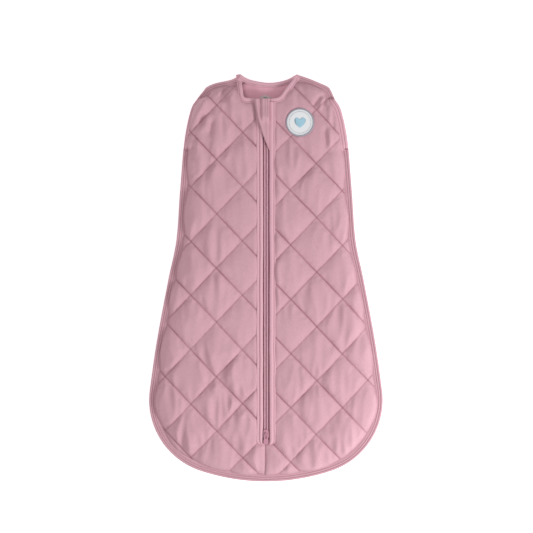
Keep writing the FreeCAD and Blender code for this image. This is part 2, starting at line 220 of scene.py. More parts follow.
def catmull(a, b, c, d, steps):
    """Points from b up to c on the Catmull-Rom curve through four points."""
    t = np.linspace(0, 1, steps, endpoint=False)[:, None]
    return 0.5 * (2 * b + (c - a) * t + (2 * a - 5 * b + 4 * c - d) * t**2 + (3 * b - a - 3 * c + d) * t**3)


def curve_through(points, step):
    """A smooth curve through points, resampled."""
    p = np.asarray(points, float)
    p = np.vstack([2 * p[0] - p[1], p, 2 * p[-1] - p[-2]])
    parts = [catmull(*four, 24) for four in zip(p, p[1:], p[2:], p[3:])]
    return resample(np.vstack(parts + [p[-2:-1]]), step)


def arc(centre, radius, start, end):
    """Points round an arc, angles in radians."""
    a = np.linspace(start, end, 60)
    return np.stack([centre[0] + radius * np.cos(a), centre[1] + radius * np.sin(a)], axis=1)


def path_normals(path):
    """Unit normals to the left of a path's direction."""
    ahead = np.gradient(path[:, :2], axis=0)
    ahead /= np.linalg.norm(ahead, axis=1)[:, None]
    return np.stack([-ahead[:, 1], ahead[:, 0]], axis=1)


def signed_distance(points, path):
    """Distance to a path for each point, positive on the path's left."""
    normals = path_normals(path)
    out = np.empty(len(points))
    for start in range(0, len(points), 2000):
        block = points[start : start + 2000, None, :2] - path[None, :, :2]
        near = np.argmin((block**2).sum(axis=2), axis=1)
        away = block[np.arange(len(near)), near]
        side = (away * normals[near]).sum(axis=1)
        straight = np.sign(side) * np.linalg.norm(away, axis=1)
        out[start : start + 2000] = np.where(np.abs(side) < 4, side, straight)
    return out


# --------------------------------------------------------------------- outlines
def side_points(side):
    """One side's points from the widest place up; the shoulders differ a little."""
    return [(side * x, y) for x, y in SIDE + SHOULDER[side]]


def bag_outline(step=2.0):
    """The silhouette from the left neck point round the hem to the right neck point."""
    corner_x = HALF_WIDTH - HEM_CORNER_R
    drop = WIDEST_Y - HEM_Y
    bottom_r = (HEM_CORNER_R**2 - corner_x**2 - drop**2) / (2 * HEM_CORNER_R - 2 * drop)
    turn = math.atan2(corner_x, HEM_Y + bottom_r - WIDEST_Y)
    low = 1.5 * math.pi
    left = curve_through(side_points(-1) + [(NECK_LEFT_X, NECK_Y)], step)[::-1]
    right = curve_through(side_points(1) + [(NECK_RIGHT_X, NECK_Y)], step)
    left_corner = arc((-corner_x, WIDEST_Y), HEM_CORNER_R, math.pi, low - turn)
    hem = arc((0, HEM_Y + bottom_r), bottom_r, low - turn, low + turn)
    right_corner = arc((corner_x, WIDEST_Y), HEM_CORNER_R, low + turn, 2 * math.pi)
    whole = np.vstack([left, left_corner[1:], hem[1:], right_corner[1:], right[1:]])
    return resample(whole, step)


def rounded(points, radii, step=1.5):
    """Straight runs with rounded corners."""
    points = [np.array(p, float) for p in points]
    out = [points[0]]
    for before, here, after, radius in zip(points, points[1:], points[2:], radii):
        back = (before - here) / np.linalg.norm(before - here)
        ahead = (after - here) / np.linalg.norm(after - here)
        half = math.acos(float(back @ ahead)) / 2
        trim = radius / math.tan(half)
        for t in np.linspace(0, 1, 12):
            one, two = here + back * trim * (1 - t), here + ahead * trim * t
            out.append(one * (1 - t) + two * t)
    out.append(points[-1])
    return resample(np.array(out), step)


def front_neckline():
    """The front neck edge from the left neck point to the right one; the panel is on its right."""
    return rounded(
        [
            (NECK_LEFT_X, NECK_Y),
            (FRONT_NECK_LEFT_X, FRONT_NECK_Y + 1),
            (CENTRE_SEAM_X, FRONT_NECK_Y - FRONT_NECK_SAG),
            (FRONT_NECK_RIGHT_X, FRONT_NECK_Y + 1),
            (NECK_RIGHT_X, NECK_Y),
        ],
        (6.0, 120.0, 14.0),
    )


def back_neckline():
    """The back neck edge from the left neck point to the right one."""
    middle = (NECK_LEFT_X + NECK_RIGHT_X) / 2
    points = [
        (NECK_LEFT_X, NECK_Y),
        (middle - 30, NECK_Y - BACK_NECK_DIP * 0.62),
        (middle, NECK_Y - BACK_NECK_DIP),
        (middle + 26, NECK_Y - BACK_NECK_DIP * 0.7),
        (NECK_RIGHT_X, NECK_Y),
    ]
    return curve_through(points, 1.5)


OUTLINE = bag_outline()
FRONT_NECK = front_neckline()
BACK_NECK = back_neckline()


def inside_outline(points):
    """How far each point is inside the silhouette."""
    return signed_distance(points, OUTLINE)


def below_neck(points, neckline):
    """How far each point is outside a neck hole."""
    return -signed_distance(points, neckline)


# ------------------------------------------------------------- quilting lattice
def bunch(t):
    """Spreads grid lines so that they lie closer together near the stitching."""
    return t - BUNCHING * np.sin(2 * np.pi * t) / (2 * np.pi)


def quilt_place(points, node):
    """Each point's place between the quilting lines, which lie at whole numbers of both values."""
    across = (points[:, 0] - node[0]) / DIAMOND[0]
    along = (points[:, 1] - node[1]) / DIAMOND[1]
    return np.stack([across + along, across - along], axis=1) / 2


def puff(place):
    """Pillow over one diamond: 0 on its lines, 1 in the middle."""
    s = np.sin(np.pi * place[:, 0]) * np.sin(np.pi * place[:, 1])
    return np.abs(s) ** 0.55


def line_gaps(place):
    """Distances in millimetres to the nearest line that falls to the right and that rises to the right."""
    part = place - np.floor(place)
    return (np.minimum(part, 1 - part) * SPACING).T


# ----------------------------------------------------------------- front heights
def at_armhole(points, fade=14.0):
    """1 beside an armhole and 0 elsewhere, with soft ends."""
    up, down = (points[:, 1] - ARMHOLE[0]) / fade, (ARMHOLE[1] - points[:, 1]) / fade
    return smoothstep(up + 0.5) * smoothstep(down + 0.5)


def panel_reach(points, node):
    """How far each point is inside the edge of a quilted panel, whose round puffs lap over the band."""
    band = EDGE_REACH - COVER * puff(quilt_place(points, node)) ** 1.5
    bound = np.where(points[:, 0] < 0, ARMHOLE_INSET[-1], ARMHOLE_INSET[1]) - TUCK
    share = at_armhole(points)
    return inside_outline(points) - band * (1 - share) - bound * share


def front_level(points, reach=None):
    """Height at which the front's layers are stitched together."""
    edge = inside_outline(points)
    inward = np.maximum(edge - BAND_W + TUCK if reach is None else reach, 0)
    rise = (FRONT_Z - EDGE_Z) * (1 - np.exp(-inward / ROLL))
    uneven = 1.1 * ripples(points, 120, 3.0) * smoothstep(edge / 60)
    lift = ARMHOLE_LIFT * at_armhole(points) * np.exp(-inward / 20)
    return EDGE_Z + rise + uneven + lift


# ---------------------------------------------------------------- quilted panels
def lattice_points(node, cells):
    """Grid indices, places between the lines and points of a grid along the quilting lines."""
    reach = int(GRID_REACH / min(DIAMOND)) * cells
    i, j = np.meshgrid(np.arange(-reach, reach + 1), np.arange(-reach, reach + 1), indexing="ij")
    place = np.stack([bunch(i / cells), bunch(j / cells)], axis=-1)
    x = node[0] + (place[..., 0] + place[..., 1]) * DIAMOND[0]
    y = node[1] + (place[..., 0] - place[..., 1]) * DIAMOND[1]
    return i, j, place, np.stack([x, y], axis=-1)


def warp(points):
    """Shifts quilting lines a little off true, as stitched cloth lies."""
    dx = 1.3 * ripples(points, 95, 11.0) + 0.35 * ripples(points, 24, 12.0)
    dy = 1.3 * ripples(points, 95, 21.0) + 0.35 * ripples(points, 24, 22.0)
    return points + np.stack([dx, dy], axis=1)


def lay_grid(node, region, cells):
    """Quads along the quilting lines inside a region, with their border drawn onto its edge."""
    i, j, place, spots = lattice_points(node, cells)
    keep = (np.abs(spots[..., 0]) < HALF_WIDTH + 9) & (np.abs(spots[..., 1]) < NECK_Y + 9)
    index = -np.ones(i.shape, int)
    index[keep] = np.arange(keep.sum())
    points = warp(spots[keep])
    value = region(points)
    a, b, c, d = index[:-1, :-1], index[1:, :-1], index[1:, 1:], index[:-1, 1:]
    quads = np.stack([a, d, c, b], axis=-1).reshape(-1, 4)
    quads = quads[(quads >= 0).all(axis=1)]
    quads = quads[(value[quads] > -0.9).all(axis=1) & (value[quads].mean(axis=1) > 0.4)]
    used = np.unique(quads)
    new = -np.ones(len(points), int)
    new[used] = np.arange(len(used))
    quads = new[quads]
    points = points[used]
    border = border_of(quads, len(points))
    points[border] = onto_edge(points[border], region)
    sewn = np.stack([i[keep][used] % cells == 0, j[keep][used] % cells == 0], axis=1)
    return points, quads, border, place[keep][used], sewn


def border_edges(quads):
    """Directed edges that belong to one face only."""
    edges = np.concatenate([quads[:, [k, (k + 1) % 4]] for k in range(4)])
    forward = {(int(p), int(q)) for p, q in edges}
    return [(p, q) for p, q in forward if (q, p) not in forward]


def border_of(quads, count):
    """Mask of points on the border."""
    mask = np.zeros(count, bool)
    for p, q in border_edges(quads):
        mask[p] = mask[q] = True
    return mask


def onto_edge(points, region):
    """Moves points to where the region's distance is nought."""
    points = points.copy()
    nudge = 0.2
    for _ in range(6):
        value = region(points)
        gx = (region(points + [nudge, 0]) - value) / nudge
        gy = (region(points + [0, nudge]) - value) / nudge
        size = np.maximum(gx**2 + gy**2, 0.25)
        step = np.stack([value * gx / size, value * gy / size], axis=1)
        length = np.maximum(np.linalg.norm(step, axis=1), 1e-9)[:, None]
        points -= step * np.minimum(1, 2.0 / length)
    return points


def swell(points, start, quads, pinned):
    """Cloth simulation of one shell: held on its stitching, cut a little too large, blown up."""
    flat = np.column_stack([points, start])
    obj = mesh_object("swelling", flat * SIM_SCALE, quads)
    group = obj.vertex_groups.new(name="held")
    group.add([int(k) for k in np.flatnonzero(pinned)], 1.0, "REPLACE")
    modifier = obj.modifiers.new("cloth", "CLOTH")
    cloth = modifier.settings
    cloth.quality = 5
    cloth.mass = 0.01
    cloth.air_damping = 1.0
    cloth.tension_stiffness = 15
    cloth.compression_stiffness = 15
    cloth.shear_stiffness = 5
    cloth.bending_stiffness = 8
    cloth.tension_damping = 2
    cloth.compression_damping = 2
    cloth.shear_damping = 2
    cloth.bending_damping = 0.5
    cloth.vertex_group_mass = "held"
    cloth.shrink_min = -SLACK
    cloth.use_pressure = True
    cloth.uniform_pressure_force = 1.5
    cloth.effector_weights.gravity = 0.0
    modifier.collision_settings.use_collision = False
    modifier.point_cache.frame_start = 1
    modifier.point_cache.frame_end = SIM_FRAMES
    scene = bpy.context.scene
    for number in range(1, SIM_FRAMES + 1):
        scene.frame_set(number)
    shape = obj.evaluated_get(bpy.context.evaluated_depsgraph_get()).to_mesh()
    moved = np.empty(len(points) * 3)
    shape.vertices.foreach_get("co", moved)
    scene.frame_set(1)
    bpy.data.objects.remove(obj)
    return moved.reshape(-1, 3) / MM / SIM_SCALE - flat * [1, 1, 0]


def pad_of(name, top, bottom, quads):
    """A closed pad from a top and a bottom surface that share their grid."""
    count = len(top)
    under = quads[:, ::-1] + count
    rim = [(p, p + count, q + count, q) for p, q in border_edges(quads)]
    return mesh_object(name, np.vstack([top, bottom]), np.vstack([quads, under, rim]))


def mark_quilting(obj, place):
    """Stores each point's place between the quilting lines, for the material, which paints shade along the
    lines.
    """
    layer = obj.data.attributes.new("quilt", "FLOAT_VECTOR", "POINT")
    both = np.vstack([place, place])
    layer.data.foreach_set("vector", np.column_stack([both, np.zeros(len(both))]).astype(np.float32).ravel())


def seam_paths(quads, sewn, border):
    """Pairs of neighbouring points that follow a quilting line."""
    edges = np.concatenate([quads[:, [k, (k + 1) % 4]] for k in range(4)])
    edges = np.unique(np.sort(edges, axis=1), axis=0)
    p, q = edges.T
    along = (sewn[p] & sewn[q]).any(axis=1)
    return edges[along & ~(border[p] | border[q])]


STITCH_SIDES = 5
STITCH_SHAPE = ((0.0, 0.0, -0.6), (0.16, 0.9, 0.1), (0.5, 1.0, 0.45), (0.84, 0.9, 0.1), (1.0, 0.0, -0.6))


def thread(name, starts, ends, radius, lift=0.0):
    """Stitches: one small rounded bar of thread from each start to its end."""
    starts, ends = np.asarray(starts, float), np.asarray(ends, float)
    ahead = ends - starts
    length = np.linalg.norm(ahead, axis=1)[:, None]
    ahead /= np.maximum(length, 1e-9)
    side = np.cross(ahead, [0, 0, 1.0])
    side /= np.maximum(np.linalg.norm(side, axis=1)[:, None], 1e-9)
    up = np.cross(side, ahead)
    rings = []
    for share, size, rise in STITCH_SHAPE:
        centre = starts + (ends - starts) * share + up * (rise * radius + lift)
        if size == 0:
            rings.append(centre[:, None, :])
            continue
        turns = np.arange(STITCH_SIDES) * 2 * np.pi / STITCH_SIDES
        ring = [centre + (side * math.cos(a) + up * math.sin(a)) * radius * size for a in turns]
        rings.append(np.stack(ring, axis=1))
    verts = np.concatenate(rings, axis=1)
    count = verts.shape[1]
    first, middle, last = (1 + n * STITCH_SIDES for n in range(3))
    turn = [(k, (k + 1) % STITCH_SIDES) for k in range(STITCH_SIDES)]
    faces = [(0, first + b, first + a) for a, b in turn]
    for low, high in ((first, middle), (middle, last)):
        faces += [(low + a, low + b, high + b, high + a) for a, b in turn]
    faces += [(last + a, last + b, count - 1) for a, b in turn]
    every = [tuple(count * n + v for v in face) for n in range(len(verts)) for face in faces]
    return mesh_object(name, verts.reshape(-1, 3), every)


def beside(path, across, height):
    """A line at a distance to the left of a path, at a height."""
    return np.column_stack([path + path_normals(path) * np.reshape(across, (-1, 1)), height])


def topstitching(name, lines, pitch, radius):
    """Evenly spaced stitches along lines."""
    cover, starts, ends = 0.7, [], []
    for line in lines:
        points = resample(line, pitch)
        starts.append(points[:-1])
        ends.append(points[:-1] + (points[1:] - points[:-1]) * cover)
    return thread(name, np.vstack(starts), np.vstack(ends), radius, 0.1)


def front_region(side, node):
    """Where one front panel lies: side is -1 for the left, 1 for the right."""

    def region(p):
        seam = side * (p[:, 0] - CENTRE_SEAM_X)
        slot = np.maximum(side * p[:, 0] - SLOT_HALF, SLOT_END_Y - p[:, 1])
        neck = below_neck(p, FRONT_NECK) - (BINDING_W - TUCK)
        return np.minimum(np.minimum(panel_reach(p, node), neck), np.minimum(seam, slot))

    return region


def back_region(p):
    """Where the back panel lies."""
    return np.minimum(inside_outline(p) - (BAND_W - TUCK), below_neck(p, BACK_NECK) - (BINDING_W - TUCK))


def creases(points, seed):
    """Soft upright folds from -1 to about 1, stronger in some places than in others."""
    broad = ripples(points * [3.4, 1.0], 52.0, seed)
    sharp = 1 - 2.2 * np.abs(ripples(points * [3.4, 0.9], 46.0, seed + 3))
    mask = 0.5 + 1.3 * ripples(points, 80.0, seed + 6)
    return (0.9 * broad + 0.6 * sharp) * np.clip(mask, 0.12, 1.4)


def puckers(points):
    """Little gathers beside the seam below the zip, and the cloth that meets over the seam."""
    away = np.abs(points[:, 0] - CENTRE_SEAM_X)
    below = smoothstep((SLOT_END_Y + 4 - points[:, 1]) / 8)
    gathers = 0.7 * ripples(points * [0.3, 1.0], 5.0, 44.0) * np.exp(-(((away - 3) / 3) ** 2))
    return below * (gathers + 1.1 * np.exp(-away / 1.3))


def folds(points):
    """Height of the pronounced folds at the shoulders, which fade out past both their ends."""
    total = np.zeros(len(points))
    for x0, y0, x1, y1, width, height in FOLDS:
        start, run = np.array([x0, y0]), np.array([x1 - x0, y1 - y0])
        length = np.hypot(*run)
        away = points - start
        along = away @ run / length**2
        across = (away[:, 0] * run[1] - away[:, 1] * run[0]) / length
        fade = smoothstep((along + 0.25) / 0.5) * smoothstep((1.25 - along) / 0.5)
        total += height * np.exp(-((across / width) ** 2)) * fade
    return total


def swollen(points, body, quads, held):
    start = PILLOW * body
    start[held] = 0
    return swell(points, start, quads, held)


def beside_slot(points, side):
    """The swelling beside the zip's slot: steep next to it, then slowly less."""
    away = np.maximum(side * points[:, 0] - SLOT_HALF, 0)
    return SLOT_SWELL * (1 - np.exp(-away / 2)) * np.exp(-away / 12)


def under_patch(points):
    """Height that the patch holds the panel down to, which rises away from the patch."""
    away = np.hypot(points[:, 0] - PATCH_XY[0], points[:, 1] - PATCH_XY[1])
    return PATCH_Z - PATCH_SINK + PATCH_SLOPE * np.maximum(away - PATCH_R, 0)


def quilt_front(name, side, node):
    """One quilted front half as a closed pad, and the thread of its quilting."""
    region = front_region(side, node)
    points, quads, border, place, sewn = lay_grid(node, region, CELLS)
    body = puff(place) * smoothstep(region(points) / PILLOW_FADE)
    moved = swollen(points, body, quads, sewn.any(axis=1) | border)
    level = front_level(points, panel_reach(points, node))
    inside = np.maximum(region(points), 0)
    gaps = line_gaps(place)
    rise = SOFTNESS * moved[:, 2] * (1 - 0.35 * np.exp(-gaps[1] / 9))
    for gap, loft, run in zip(gaps, LOFT, LOFT_RUN):
        rise += loft * (1 - np.exp(-np.minimum(gap, inside) / run))
    rise += beside_slot(points, side)
    crumple = CREASE * creases(points, 30.0 + side) * np.minimum(body * 1.8, 1)
    crumple += folds(points) * smoothstep(inside / 6)
    spots = points + moved[:, :2]
    height = np.minimum(level + rise + crumple + puckers(points), under_patch(spots))
    top = np.column_stack([spots, height])
    bottom = np.column_stack([points, level - FRONT_THIN - FRONT_THICK * body])
    pad = pad_of(name, top, bottom, quads)
    mark_quilting(pad, place)
    return pad, quilting_thread(name, top, seam_paths(quads, sewn, border), 0.14, 0.08)


def quilting_thread(name, surface, edges, gap, lift):
    """One stitch along each edge of the quilting lines, short of its ends by a share of it."""
    p, q = surface[edges[:, 0]], surface[edges[:, 1]]
    return thread(f"{name}_thread", p + (q - p) * gap, p + (q - p) * (1 - gap), QUILT_THREAD_R, lift)


def quilt_back():
    """The quilted back as a closed pad, flat where it lies on its puffs, and its thread."""
    points, quads, border, place, sewn = lay_grid(BACK_NODE, back_region, CELLS // 2)
    body = puff(place) * smoothstep(back_region(points) / PILLOW_FADE)
    crease = ripples(points * [2.2, 1.0], 30.0, 40.0) * np.minimum(body * 2, 1)
    low = BACK_LINE_Z - 0.8 - 3.2 * body - 0.5 * crease
    low = np.where(low < 0.5, 0.5 - 0.25 * (1 - np.exp((low - 0.5) / 0.8)), low)
    thick = body * smoothstep((back_region(points) - 6) / 10)
    top = np.column_stack([points, BACK_LINE_Z + 0.6 + 1.6 * thick])
    bottom = np.column_stack([points, low])
    pad = pad_of("back_quilt", bottom, top, quads[:, ::-1])
    mark_quilting(pad, place)
    return pad, quilting_thread("back_quilt", bottom, seam_paths(quads, sewn, border), 0.12, -0.08)


def thin_sheet(name, node, region, height):
    """A thin closed sheet over a region, and the flat area it was cut to."""
    points, quads = lay_grid(node, region, LINING_CELLS)[:2]
    top = np.column_stack([points, height(points)])
    sheet = pad_of(name, top, top - [0, 0, SHEET_THICK], quads)
    a, b, c, d = (points[quads[:, k]] for k in range(4))
    area = np.abs(np.cross(c - a, d - b)).sum() / 2
    return sheet, area


def lining_height(node):
    """Height of a front lining, which hangs just under its quilt."""

    def height(points):
        reach = panel_reach(points, node)
        return front_level(points, reach) - 1.6 - 1.8 * smoothstep(reach / 12)

    return height


def back_lining_region(p):
    """Where the back lining lies: short of the closed edges, and out to the armholes and the neck."""
    edge = inside_outline(p) - (BAND_W - TUCK) - 8 * (1 - at_armhole(p))
    return np.minimum(edge, below_neck(p, BACK_NECK) - (BINDING_W - TUCK))


def back_lining_height(points):
    """The back lining lies on the wadding, a little uneven, with the printed label lying on it."""
    return BACK_LINING_Z + 0.3 * ripples(points * [1.6, 1.0], 26.0, 51.0)


# ------------------------------------------------------------ bands and bindings
def sweep(name, path, profile, width=None, height=None, roll=None):
    """A closed section (across, up) drawn along a path of (x, y, height) points."""
    normals = path_normals(path)
    count = len(path)
    width = np.ones(count) if width is None else width
    height = np.ones(count) if height is None else height
    section = np.asarray(profile, float)
    across = section[None, :, 0] * width[:, None]
    up = section[None, :, 1] * height[:, None]
    if roll is not None:
        up = up + across * roll[:, None]
    xy = path[:, None, :2] + normals[:, None, :] * across[:, :, None]
    verts = np.concatenate([xy, (path[:, 2:3] + up)[:, :, None]], axis=2)
    return outward(mesh_object(name, verts.reshape(-1, 3), tube_faces(count, len(section))))


def tube_faces(rings, sides, start=0):
    """Faces that join rings of points in turn and close both ends."""
    faces = []
    for n in range(rings - 1):
        for m in range(sides):
            a, b = n * sides + m, n * sides + (m + 1) % sides
            faces.append((a, b, b + sides, a + sides))
    faces.append(tuple(reversed(range(sides))))
    faces.append(tuple(range((rings - 1) * sides, rings * sides)))
    return [tuple(start + v for v in face) for face in faces]


def outward(obj):
    """The object, with every face of its closed mesh turned outward."""
    bm = bmesh.new()
    bm.from_mesh(obj.data)
    bmesh.ops.recalc_face_normals(bm, faces=bm.faces)
    bm.to_mesh(obj.data)
    bm.free()
    return obj


def closed_curve(points):
    """A smooth closed section through a few points."""
    p = np.asarray(points, float)
    neighbours = (np.roll(p, back, axis=0) for back in (1, 0, -1, -2))
    return np.vstack([catmull(*four, 4) for four in zip(*neighbours)])


def stretch(path, low, high, side=0):
    """The part of a path between two heights in y, on one side of the bag or both."""
    keep = (path[:, 1] >= low) & (path[:, 1] <= high)
    if side:
        keep &= path[:, 0] * side > 0
    return path[keep]


def extend(path, reach):
    """The path carried on straight past both ends."""
    first = path[0] + (path[0] - path[1]) / np.linalg.norm(path[0] - path[1]) * reach
    last = path[-1] + (path[-1] - path[-2]) / np.linalg.norm(path[-1] - path[-2]) * reach
    return np.vstack([first, path, last])


def unevenness(path, size, amount, seed):
    """1 plus smooth noise, for widths and heights along a path."""
    return 1 + amount * ripples(path, size, seed)


BAND_SECTION = closed_curve(
    [
        (0.0, 2.5), (0.6, 3.9), (2.1, 4.6), (3.4, 4.3), (3.9, 3.3), (4.4, 4.3), (5.6, 4.7),
        (6.8, 4.4), (7.3, 3.5), (7.8, 4.4), (9.4, 4.4), (11.0, 3.9), (13.4, 3.7), (13.8, 3.1),
        (11.0, 2.7), (9.0, 1.4), (5.2, 0.7), (1.6, 0.8), (0.5, 1.4),
    ]
)
GROOVES = (3.9, 7.3)
STITCH_RISE = 3.25
BAND_STITCH = 2.9


def edge_piece(name, path, seed):
    """A stretch of the flat topstitched edge, and its stitches."""
    flat = np.column_stack([path, np.zeros(len(path))])
    slim = np.where(path[:, 0] < 0, ARMHOLE_WIDTH[-1], ARMHOLE_WIDTH[1])
    width = unevenness(path, 38.0, 0.06, seed) * (1 - (1 - slim) * at_armhole(path, 16.0))
    height = unevenness(path, 22.0, 0.09, seed + 1)
    band = sweep(name, flat, BAND_SECTION, width, height)
    lines = [beside(path, groove * width, STITCH_RISE * height) for groove in GROOVES]
    return band, topstitching(f"{name}_thread", lines, BAND_STITCH, SEWING_THREAD_R)


BINDING_FRONT = closed_curve(
    [
        (0.5, 6.2), (0.9, 7.6), (2.2, 8.4), (3.4, 8.1), (3.9, 7.2), (4.4, 8.1), (5.6, 8.5),
        (6.8, 8.2), (7.3, 7.3), (7.8, 8.2), (9.0, 8.3), (10.4, 7.4), (8.2, 5.5), (2.0, 5.3),
    ]
)
ARMHOLE_STITCH_Z = 7.2
BINDING_STITCH = 2.6
ARMHOLE_ROLL = {-1: 0.7, 1: 0.12}
BINDING_BACK = closed_curve(
    [(0.0, 2.2), (0.6, 3.3), (3.4, 3.7), (8.2, 3.6), (9.4, 2.4), (8.2, 1.2), (3.4, 0.8), (0.7, 1.0)]
)


def armhole(side):
    """Front and back bindings of one armhole, with the stitches of the front one."""
    path = stretch(OUTLINE, *ARMHOLE, side)
    long = resample(extend(path, 3.0), 2.0)
    flat = np.column_stack([long, np.zeros(len(long))])
    word = WORD[side]
    t = np.linspace(0, 1, len(long))
    sunk = np.exp(-(np.minimum(t, 1 - t) / 0.06) ** 2)
    flat[:, 2] = -0.6 - 2.6 * sunk
    broad = ARMHOLE_WIDTH[side] * unevenness(long, 20, 0.08, 61)
    roll = np.full(len(long), ARMHOLE_ROLL[side])
    front = sweep(f"armhole_binding_cloth_{word}_front", flat, BINDING_FRONT, broad, roll=roll)
    level = np.column_stack([long, np.zeros(len(long))])
    back = sweep(f"armhole_binding_cloth_{word}_back", level, BINDING_BACK, unevenness(long, 24, 0.05, 62))
    lines = [
        beside(long, groove * broad, ARMHOLE_STITCH_Z + flat[:, 2] + roll * groove * broad)
        for groove in GROOVES
    ]
    return front, back, topstitching(f"armhole_thread_{word}", lines, BINDING_STITCH, BINDING_THREAD_R)


BARTACK = 6.5
BARTACK_Z = 6.6


def bartack(name, path, y, side):
    """A dense bar of stitching across the edge, which locks the end of a seam."""
    near = path[np.argmin(np.abs(path[:, 1] - y) + 1e3 * (path[:, 0] * side < 0))]
    inward = np.array([-side * 1.0, -0.25 if y > 250 else 0.0])
    inward /= np.linalg.norm(inward)
    along = np.array([-inward[1], inward[0]])
    across = np.arange(0.9, BARTACK, 0.42)
    middles = near + inward * across[:, None]
    rise = BARTACK_Z + 0.5 * np.sin(np.pi * across / BARTACK)
    starts = np.column_stack([middles - along * 1.2, rise])
    ends = np.column_stack([middles + along * 1.2, rise])
    return thread(name, starts, ends, SEWING_THREAD_R)


NECK_SECTION = closed_curve(
    [
        (0.0, -1.2), (0.3, 0.6), (-1.0, 1.7), (-3.2, 1.9), (-4.8, 1.5), (-5.5, 0.4),
        (-6.1, 1.2), (-7.2, 0.9), (-7.6, -0.4), (-5.5, -1.8), (-1.4, -2.2),
    ]
)
NECK_STITCH = -5.5


def front_binding(name, path, seed):
    """One half of the front neck binding, which rides over the panel's raw edge."""
    inner = path - path_normals(path) * BINDING_W * 0.7
    z = front_level(inner) + 0.5
    route = np.column_stack([path, z])
    height = unevenness(path, 14.0, 0.12, seed)
    band = sweep(name, route, NECK_SECTION, unevenness(path, 18.0, 0.07, seed + 1), height)
    line = beside(path, NECK_STITCH, z + 0.5 * height)
    return band, topstitching(f"{name}_thread", [line], BINDING_STITCH, BINDING_THREAD_R)


BACK_NECK_SECTION = closed_curve(
    [
        (0.0, 3.4), (-0.3, 5.6), (-2.2, 7.0), (-4.6, 6.9), (-5.6, 6.2), (-6.3, 6.7),
        (-7.4, 6.2), (-7.8, 5.2), (-7.4, 2.4), (-5.0, 1.0), (-1.6, 0.9), (-0.3, 1.8),
    ]
)
BACK_NECK_STITCH = (-5.6, 6.2)


def back_binding():
    """The back neck binding and its stitches."""
    route = np.column_stack([BACK_NECK, np.zeros(len(BACK_NECK))])
    height = unevenness(BACK_NECK, 16.0, 0.06, 71)
    width = unevenness(BACK_NECK, 16.0, 0.07, 72)
    band = sweep("neck_binding_cloth_back", route, BACK_NECK_SECTION, width, height)
    line = beside(BACK_NECK, BACK_NECK_STITCH[0], BACK_NECK_STITCH[1] * height)
    return band, topstitching("neck_binding_cloth_back_thread", [line], BINDING_STITCH, BINDING_THREAD_R)


# --------------------------------------------------------------------------- zip
PLACKET_INNER = {-1: 4.9, 1: 5.6}
PLACKET_STITCH = {-1: 10.6, 1: 12.4}
PLACKET_STITCH_Z = 18.35
PLACKET_PITCH = 2.7
FACING_TOP_Y = 281.0
PLACKET_TURN = 9.0


def placket_section(inner, groove):
    """The folded edge: a round fold beside the chain, a stitched groove and a low outer edge."""
    points = [
        (inner + 0.2, 16.9),
        (inner, 17.9),
        (inner + 0.8, 19.1),
        ((inner + groove) / 2, 19.8),
        (groove - 1.1, 19.3),
        (groove, 18.3),
        (groove + 1.1, 18.8),
        (14.3, 18.6), (15.1, 17.2), (12.0, 16.1), (7.0, 15.9),
    ]
    return closed_curve(points)


def placket(side):
    """The folded fabric edge beside the chain, rounded in at its foot, and its stitches."""
    y = np.arange(SLOT_END_Y - 3, FACING_TOP_Y, 1.5)
    x = 0.5 * ripples_along(y, 60.0, 81 + side)
    path = np.column_stack([x, y]) if side < 0 else np.column_stack([x, y])[::-1]
    base = 0.35 * ripples_along(path[:, 1], 34.0, 84 + side)
    up = np.clip((path[:, 1] - SLOT_END_Y + 3) / PLACKET_TURN, 0, 1)
    turn = 1 - 0.55 * (1 - np.sqrt(1 - (1 - up) ** 2))
    width = turn * (1 + 0.05 * ripples_along(path[:, 1], 26.0, 87 + side))
    base = base - 1.5 * (1 - up) ** 2
    flat = np.column_stack([path, base])
    section = placket_section(PLACKET_INNER[side], PLACKET_STITCH[side])
    name = f"zip_placket_{WORD[side]}"
    strip = sweep(name, flat, section, width)
    line = beside(path, PLACKET_STITCH[side] * width, base + PLACKET_STITCH_Z)
    return strip, topstitching(f"{name}_thread", [line], PLACKET_PITCH, SEWING_THREAD_R)


COIL_PITCH = 1.45
COIL_WIRE = 0.58
COIL_LOOP = [(3.1, 16.2), (3.25, 16.9), (2.7, 17.45), (1.7, 17.5), (1.0, 17.1), (0.85, 16.5), (1.05, 16.2)]
WIRE_SIDES = 6


def tube(centres, across, radius):
    """Rings of points round a line of centres that lies in the plane square to across."""
    centres, across = np.asarray(centres, float), np.asarray(across, float)
    ahead = np.gradient(centres, axis=0)
    ahead /= np.linalg.norm(ahead, axis=1)[:, None]
    other = np.cross(ahead, across)
    turns = np.arange(WIRE_SIDES) * 2 * np.pi / WIRE_SIDES
    rings = [centres + (across * math.cos(a) + other * math.sin(a)) * radius for a in turns]
    return np.stack(rings, axis=1).reshape(-1, 3)


def zip_coil(side):
    """One row of coil: a loop of wire for each turn, half a pitch apart from the other row."""
    word = WORD[side]
    low, high = (v / MM for v in (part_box(f"zip_coil_{word}")[0][1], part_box(f"zip_coil_{word}")[1][1]))
    turn = tube([(side * x, 0, z) for x, z in COIL_LOOP], (0, 1, 0), COIL_WIRE)
    first = low + COIL_WIRE + (COIL_PITCH / 2 if side > 0 else 0)
    verts, faces = [], []
    for y in np.arange(first, high - COIL_WIRE, COIL_PITCH):
        faces += tube_faces(len(COIL_LOOP), WIRE_SIDES, start=len(verts))
        verts += list(turn + [0, y, 0])
    return outward(mesh_object(f"zip_coil_loops_{word}", verts, faces))


